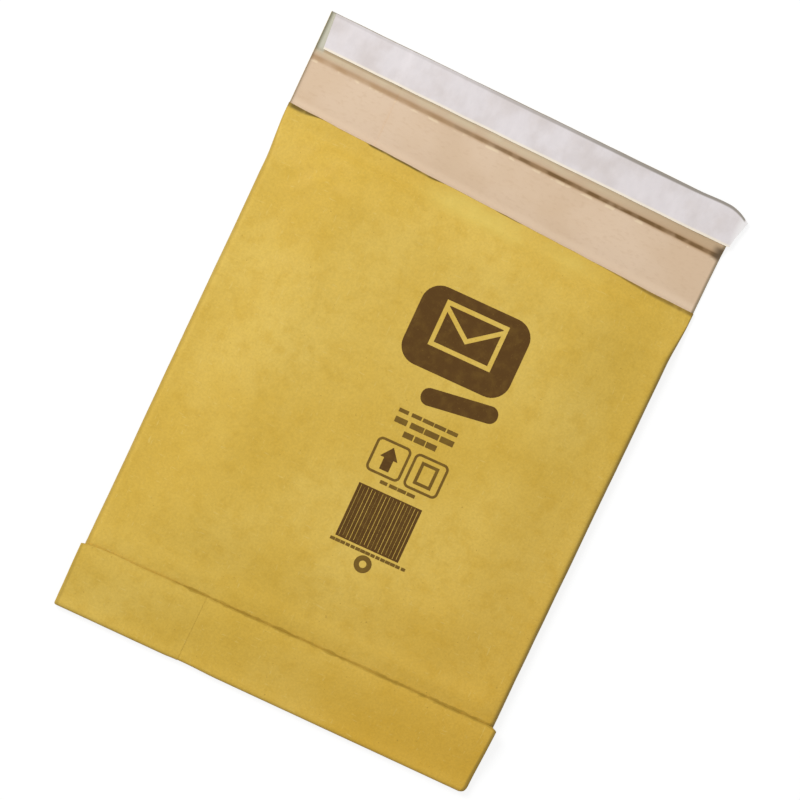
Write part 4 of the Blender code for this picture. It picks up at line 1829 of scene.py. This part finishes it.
    def raw_edge(self, table: NodeTable) -> Socket:
        """Return the strength of the painted shadow along the turn-up's raw edge, on both sides of the edge.

        Args:
            table: The material's nodes.

        Returns:
            The strength.
        """
        stray = table.product(table.math("SUBTRACT", table.noise(0.0045), 0.5), 0.0020)
        along = table.math("ADD", table.along, stray)
        edge = self.sizes.turn_up
        on_leg = table.ranged(along, 0.0010 - edge, 0.0003 - edge)
        on_front = table.stretch(along, (edge - 0.0010, edge - 0.0005, edge + 0.0006, edge + 0.0012))
        rightward = table.ranged(table.x, -0.078, -0.055, 0.22, 0.85)
        uneven = table.patchy(0.007, 0.3, 0.6, 0.45, 1.0)
        return table.product(table.math("MAXIMUM", on_leg, on_front), rightward, uneven)

    def material(self) -> bpy.types.Material:
        """Make the material.

        Returns:
            The material.
        """
        table = NodeTable("gold_kraft")
        colour, height = self.paper(table)
        # Colour of the painted shadow along the mouth edge, darker at the left.
        line = table.blend(table.ranged(table.across, -0.040, 0.060), self.lip_shadow_left, self.lip_shadow_right)
        colour = table.marked(
            colour,
            # Painted highlight under the mouth.
            (self.painted_mouth_highlight(table), self.mouth_highlight),
            # Painted shadow along the mouth edge.
            (self.lip(table), line),
            # Painted shadow along the raw edge.
            (self.raw_edge(table), self.raw_edge_shadow),
            # Painted shade on the fold rims.
            (self.shaded_fold_rims(table), self.fold_shade),
        )
        rough = table.ranged(table.noise(0.012, 3.0), 0.3, 0.7, 0.54, 0.70)
        return table.finish(colour, rough, table.bump(height, 0.0003, 0.35), 0.28)


@dataclass(frozen=True)
class BeigeKraft:
    """Smooth beige kraft of the inner ply, with painted shade in the flap's crease and along its edges, and
    painted highlights.
    """

    sizes: BagSizes
    pale: Colour = (225, 199, 171)
    base: Colour = (218, 190, 159)
    fibre: Colour = (207, 177, 145)
    # Painted shade in the crease, soft and sharp.
    soft_crease_shade: Colour = (182, 146, 106)
    sharp_crease_shade: Colour = (122, 92, 54)
    # Painted highlight just below the crease.
    crease_highlight: Colour = (240, 218, 184)
    band_low: Colour = (212, 183, 153)
    band_high: Colour = (220, 203, 170)
    band_far: Colour = (196, 165, 128)
    # Painted shadow under the liner's lower edge.
    tape_edge_shadow: Colour = (176, 154, 118)
    # Painted shadow at the crease's right end, under the liner's overhang.
    corner_shadow: Colour = (100, 82, 60)
    # Painted highlight on the flap just past the mouth.
    lip: Colour = (238, 213, 184)
    # Painted shade on the flap's side edges.
    side: Colour = (140, 123, 98)
    # Painted shade on the flap's left margin beside the liner, darkest at its rim.
    strip: Colour = (198, 196, 178)
    margin_rim_shade: Colour = (146, 144, 122)
    # Painted shade on the flap's top edge beyond the liner.
    top: Colour = (158, 150, 136)

    def crease(self, table: NodeTable, colour: Socket) -> tuple[Socket, Socket]:
        """Add the crease under the closing tape, with painted shade in it, and the band between them.

        Args:
            table: The material's nodes.
            colour: The paper's colour.

        Returns:
            The colour, and the strength of the crease.
        """
        low, high = self.sizes.crease[0], self.sizes.tape_lower[0]
        patchy = table.noise(0.014)
        band = table.blend(table.ranged(table.along, low, high - 0.0012), self.band_low, self.band_high)
        band = table.blend(table.ranged(patchy, 0.40, 0.62, 0.0, 0.5), band, self.band_low)
        band = table.blend(table.ranged(table.x, 0.0, 0.110, 0.0, 0.8), band, self.band_far)
        # Painted shadow under the liner's lower edge, stronger at the left.
        by_tape = table.near(table.along, high - 0.0005, 0.0012)
        by_tape = table.product(by_tape, table.ranged(table.x, -0.1, 0.0, 0.8, 0.3))
        band = table.blend(by_tape, band, self.tape_edge_shadow)
        on_band = table.product(table.ranged(table.along, low - 0.0004, low + 0.0004), 0.85)
        colour = table.blend(on_band, colour, band)
        # Painted highlights where the edge just below the crease catches the light.
        crease_glints = table.patchy(0.006, 0.52, 0.62, 0.0, 0.75)
        crease_glints = table.product(table.near(table.along, low - 0.0016, 0.0011), crease_glints)
        colour = table.blend(crease_glints, colour, self.crease_highlight)
        # Painted shade in the crease: soft and wide all along, then sharp, dark and patchy towards the right.
        soft = table.ranged(patchy, 0.30, 0.60, 0.45, 0.85)
        soft = table.product(table.near(table.along, low, 0.0022), soft)
        colour = table.blend(soft, colour, self.soft_crease_shade)
        wear_and_shade = table.patchy(0.010, 0.34, 0.56, 0.55, 1.0)
        rightward = table.ranged(table.x, -0.085, 0.030)
        sharp = table.product(table.near(table.along, low, 0.0013, 0.35), rightward, wear_and_shade)
        depth = table.math("MAXIMUM", sharp, table.product(soft, 0.5))
        return table.blend(sharp, colour, self.sharp_crease_shade), depth

    def edges(self, table: NodeTable, colour: Socket) -> Socket:
        """Add painted shade and shadow along the flap's edges, and a painted highlight past the mouth.

        Args:
            table: The material's nodes.
            colour: The paper's colour.

        Returns:
            The colour.
        """
        sizes = self.sizes
        mouth, crease, top = sizes.mouth[0], sizes.crease[0], sizes.flap_top[0]
        inset = table.past_side(sizes.half)
        on_left = table.ranged(table.across, 0.001, -0.001)
        on_right = table.ranged(table.across, -0.001, 0.001)
        past_mouth = table.ranged(table.along, mouth - 0.001, mouth)
        # Painted highlight just past the mouth edge.
        lip = table.ranged(table.along, mouth + 0.0050, mouth + 0.0010, 0.0, 0.75)
        # Painted shade on the side edges, strong at the right and weaker at the left.
        right_side_shade = table.product(on_right, table.ranged(inset, 0.0034, 0.0021, 0.0, 0.92))
        left_side_shade = table.product(on_left, table.ranged(inset, 0.0034, 0.0018, 0.0, 0.45))
        side = table.product(table.math("MAXIMUM", right_side_shade, left_side_shade), past_mouth)
        # Painted shade on the left margin beside the liner.
        beside = table.product(on_left, table.ranged(inset, 0.0064, 0.0054, 0.0, 0.92))
        by_tape = table.ranged(table.along, crease + 0.0020, sizes.tape_lower[0] + 0.0010)
        strip = table.blend(table.ranged(inset, 0.0037, 0.0022), self.strip, self.margin_rim_shade)
        # Painted shadow at the right end of the crease.
        corner = table.product(on_right, table.ranged(inset, 0.0078, 0.0024))
        corner = table.product(corner, table.near(table.along, crease + 0.0012, 0.0042, 0.35), 0.95)
        # Painted shade along the top edge.
        top_edge_shade = table.product(table.ranged(table.along, top - 0.0010, top - 0.0003), 0.8)
        return table.marked(
            colour,
            (table.product(past_mouth, lip), self.lip),
            (side, self.side),
            (table.product(beside, by_tape), strip),
            (corner, self.corner_shadow),
            (top_edge_shade, self.top),
        )

    def material(self) -> bpy.types.Material:
        """Make the material.

        Returns:
            The material.
        """
        table = NodeTable("beige_kraft")
        patches = table.ranged(table.noise(0.045, 3.0), 0.35, 0.65)
        colour = table.blend(patches, self.base, self.pale)
        fibres = table.noise(0.0013, 3.0, table.moved((0.45, 1.0, 1.0), 0.5))
        colour = table.blend(table.ranged(fibres, 0.50, 0.74, 0.0, 0.35), colour, self.fibre)
        colour, line = self.crease(table, colour)
        colour = self.edges(table, colour)
        rough = table.ranged(table.noise(0.010, 3.0), 0.3, 0.7, 0.50, 0.66)
        height = table.math("SUBTRACT", table.math("ADD", fibres, patches), line)
        return table.finish(colour, rough, table.bump(height, 0.0002, 0.3), 0.28)


@dataclass(frozen=True)
class FibrePad:
    """Grey-brown shredded paper fibre."""

    base: Colour = (172, 160, 142)
    pale: Colour = (206, 196, 178)
    dark: Colour = (112, 100, 86)

    def material(self) -> bpy.types.Material:
        """Make the material.

        Returns:
            The material.
        """
        table = NodeTable("shredded_fibre")
        lumps = table.noise(0.0050, 4.0, rough=0.6)
        colour = table.blend(table.ranged(lumps, 0.35, 0.65), self.base, self.pale)
        shreds = table.noise(0.0016, 3.0, table.moved((1.0, 0.3, 1.0), 0.8))
        colour = table.blend(table.ranged(shreds, 0.55, 0.70, 0.0, 0.7), colour, self.dark)
        rough = table.ranged(shreds, 0.3, 0.7, 0.82, 0.95)
        height = table.math("ADD", lumps, table.product(shreds, 0.5))
        return table.finish(colour, rough, table.bump(height, 0.0006, 0.7), 0.1)


@dataclass(frozen=True)
class GlueFilm:
    """A dry film of glue, slightly cloudy, with fine bubbles."""

    name: str
    base: Colour
    smoothest: float
    cloudy: float = 0.86

    def material(self) -> bpy.types.Material:
        """Make the material.

        Returns:
            The material.
        """
        table = NodeTable(self.name)
        cloud = table.noise(0.006, 3.0)
        darker = tuple(int(self.cloudy * channel) for channel in self.base)
        colour = table.blend(table.ranged(cloud, 0.35, 0.65), self.base, darker)
        rough = table.ranged(cloud, 0.3, 0.7, self.smoothest, self.smoothest + 0.15)
        return table.finish(colour, rough, table.bump(table.noise(0.0012), 0.0001, 0.3), 0.5)


@dataclass(frozen=True)
class LinerPaper:
    """White siliconed paper with a lilac cast, slightly crinkled, with painted shade in its crinkles and a
    painted highlight along its lower edge.
    """

    sizes: BagSizes
    base: Colour = (229, 222, 223)
    shade: Colour = (217, 208, 206)
    # Painted highlight along the lower edge.
    edge: Colour = (250, 238, 216)
    rim: Colour = (150, 142, 132)
    end: Colour = (252, 250, 249)

    def material(self) -> bpy.types.Material:
        """Make the material.

        Returns:
            The material.
        """
        table = NodeTable("liner_paper")
        clouds = table.ranged(table.noise(0.020, 4.0), 0.38, 0.66)
        colour = table.blend(clouds, self.base, self.shade)
        fold = table.noise(0.0035, 4.0, table.moved((1.0, 0.45, 1.0), 0.6), 0.6)
        # Painted shade and light: the liner is darker in its crinkles' hollows and lighter on their crests.
        colour = table.shaded(table.ranged(fold, 0.3, 0.7, 0.975, 1.02), colour)
        half = self.sizes.half
        rightward = table.ranged(table.across, -0.080, 0.080, 0.20, 0.95)
        on_flap = table.ranged(table.across, half + 0.0036, half + 0.0022)
        colour = table.marked(
            colour,
            # Painted highlight along the lower edge.
            (table.product(table.ranged(table.along, 0.0018, 0.0005), 0.85), self.edge),
            (table.ranged(table.across, half - 0.0015, half + 0.0030, 0.0, 0.7), self.end),
            (table.product(table.ranged(table.along, 0.0178, 0.0188), rightward, on_flap), self.rim),
        )
        rough = table.ranged(clouds, 0.0, 1.0, 0.40, 0.52)
        return table.finish(colour, rough, table.bump(fold, 0.0003, 0.35), 0.4)


@dataclass(frozen=True)
class BrownInk:
    """Brown ink soaked into kraft, thinner where the paper's fibres stand up."""

    name: str
    base: Colour = (92, 63, 24)
    thin: Colour = (108, 79, 32)
    wear_and_shade: Colour = (138, 107, 46)

    def material(self) -> bpy.types.Material:
        """Make the material.

        Returns:
            The material.
        """
        table = NodeTable(self.name)
        cover = table.noise(0.0045, 4.0, rough=0.6)
        colour = table.blend(table.ranged(cover, 0.42, 0.72, 0.0, 0.7), self.base, self.thin)
        grain = table.noise(0.0011, 4.0, rough=0.65)
        colour = table.blend(table.ranged(grain, 0.60, 0.76, 0.0, 0.7), colour, self.wear_and_shade)
        rough = table.ranged(cover, 0.3, 0.7, 0.52, 0.66)
        height = table.math("ADD", cover, table.product(grain, 0.6))
        return table.finish(colour, rough, table.bump(height, 0.0003, 0.35), 0.14)


@dataclass(frozen=True)
class WhiteFloor:
    """White studio floor: plain white to the camera apart from the shadow, and pale to everything else."""

    seen_diffuse: float = 0.20
    seen_glow: float = 0.84
    other_diffuse: float = 0.80

    def material(self) -> bpy.types.Material:
        """Make the material.

        Returns:
            The material.
        """
        table = NodeTable("studio_floor")
        tree = table.tree
        rays = add_node(tree, "LightPath").outputs
        seen = table.math("MAXIMUM", rays["Is Camera Ray"], rays["Is Glossy Ray"])
        seen = table.math("MAXIMUM", seen, rays["Is Transmission Ray"])
        shown = add_node(tree, "BsdfDiffuse", {"Color": grey(self.seen_diffuse)})
        glow = add_node(tree, "Emission", {"Strength": self.seen_glow})
        both = add_node(tree, "AddShader", {0: shown.outputs[0], 1: glow.outputs[0]})
        plain = add_node(tree, "BsdfDiffuse", {"Color": grey(self.other_diffuse)})
        return table.close(add_node(tree, "MixShader", {0: seen, 1: plain.outputs[0], 2: both.outputs[0]}))


# Studio


@dataclass
class Studio:
    """Floor, lamps, world and camera."""

    floor_size: float = 6.0
    floor_drop: float = 0.0004
    target: Triple = (-0.00070, 0.02776, 0.0050)
    distance: float = 2.2
    tilt: float = math.radians(5.02)
    lean: float = math.radians(-2.98)
    roll: float = math.radians(24.79)
    view_width: float = 0.39917
    sensor: float = 36.0
    clip_end: float = 20.0
    lamp_place: Triple = (-1.02, 0.75, 1.43)
    lamp_power: float = 21.5
    lamp_size: float = 0.75
    world_light: float = 0.50

    def build_floor(self) -> None:
        """Lay the floor just under the bag."""
        Bench.clear_selection()
        bpy.ops.mesh.primitive_plane_add(size=self.floor_size, location=(0.0, 0.0, -self.floor_drop))
        floor = bpy.context.object
        floor.name = "studio_floor"
        bpy.ops.object.transform_apply(location=True, rotation=True, scale=True)
        floor.data.materials.append(WhiteFloor().material())

    def build_lamp(self) -> None:
        """Hang one large soft lamp to the upper left of the bag."""
        lamp = bpy.data.lights.new("soft_lamp", "AREA")
        lamp.shape = "SQUARE"
        lamp.size = self.lamp_size
        lamp.energy = self.lamp_power
        holder = bpy.data.objects.new("soft_lamp", lamp)
        bpy.context.scene.collection.objects.link(holder)
        holder.location = self.lamp_place
        aim = Vector(self.target) - Vector(self.lamp_place)
        holder.rotation_euler = aim.to_track_quat("-Z", "Y").to_euler()

    def build_world(self) -> None:
        """Light the bag softly from all round, with white behind it."""
        world = bpy.data.worlds.new("studio_world")
        bpy.context.scene.world = world
        world.use_nodes = True
        tree = world.node_tree
        tree.nodes.clear()
        seen = add_node(tree, "LightPath").outputs["Is Camera Ray"]
        soft = add_node(tree, "Background", {"Color": grey(1.0), "Strength": self.world_light})
        white = add_node(tree, "Background", {"Color": grey(1.0), "Strength": 1.0})
        choice = add_node(tree, "MixShader", {0: seen, 1: soft.outputs[0], 2: white.outputs[0]})
        add_node(tree, "OutputWorld", {"Surface": choice.outputs[0]})

    def build_camera(self) -> None:
        """Set the camera over the bag, turned as in the photograph."""
        back = Vector((math.sin(self.lean), math.sin(self.tilt), 0.0))
        back.z = math.sqrt(1 - back.length_squared)
        up = Vector((-math.sin(self.roll), math.cos(self.roll), 0.0))
        up = (up - back * up.dot(back)).normalized()
        right = up.cross(back)
        place = Vector(self.target) + self.distance * back
        lens = bpy.data.cameras.new("photo_camera")
        lens.type = "PERSP"
        lens.sensor_width = self.sensor
        lens.lens = self.sensor * self.distance / self.view_width
        lens.clip_end = self.clip_end
        camera = bpy.data.objects.new("photo_camera", lens)
        bpy.context.scene.collection.objects.link(camera)
        turn = Matrix((right, up, back)).transposed().to_4x4()
        camera.matrix_world = Matrix.Translation(place) @ turn
        bpy.context.scene.camera = camera

    def build(self) -> None:
        """Set up the whole studio."""
        bpy.context.scene.view_settings.view_transform = "Standard"
        self.build_floor()
        self.build_lamp()
        self.build_world()
        self.build_camera()


def main() -> None:
    """Build the bag and its studio."""
    logging.basicConfig(level=logging.INFO, format="%(name)s: %(message)s")
    sizes = BagSizes()
    folding = Folding(sizes, Unevenness(sizes))
    tube = PaperTube(folding)
    tube.build()
    tape = ClosingTape(folding)
    tape.build()
    front_print = FrontPrint(tube.pieces["outer_ply"])
    front_print.build()
    for assembly in (tube, tape, front_print):
        assembly.dress()
    Studio().build()


if __name__ == "__main__":
    main()
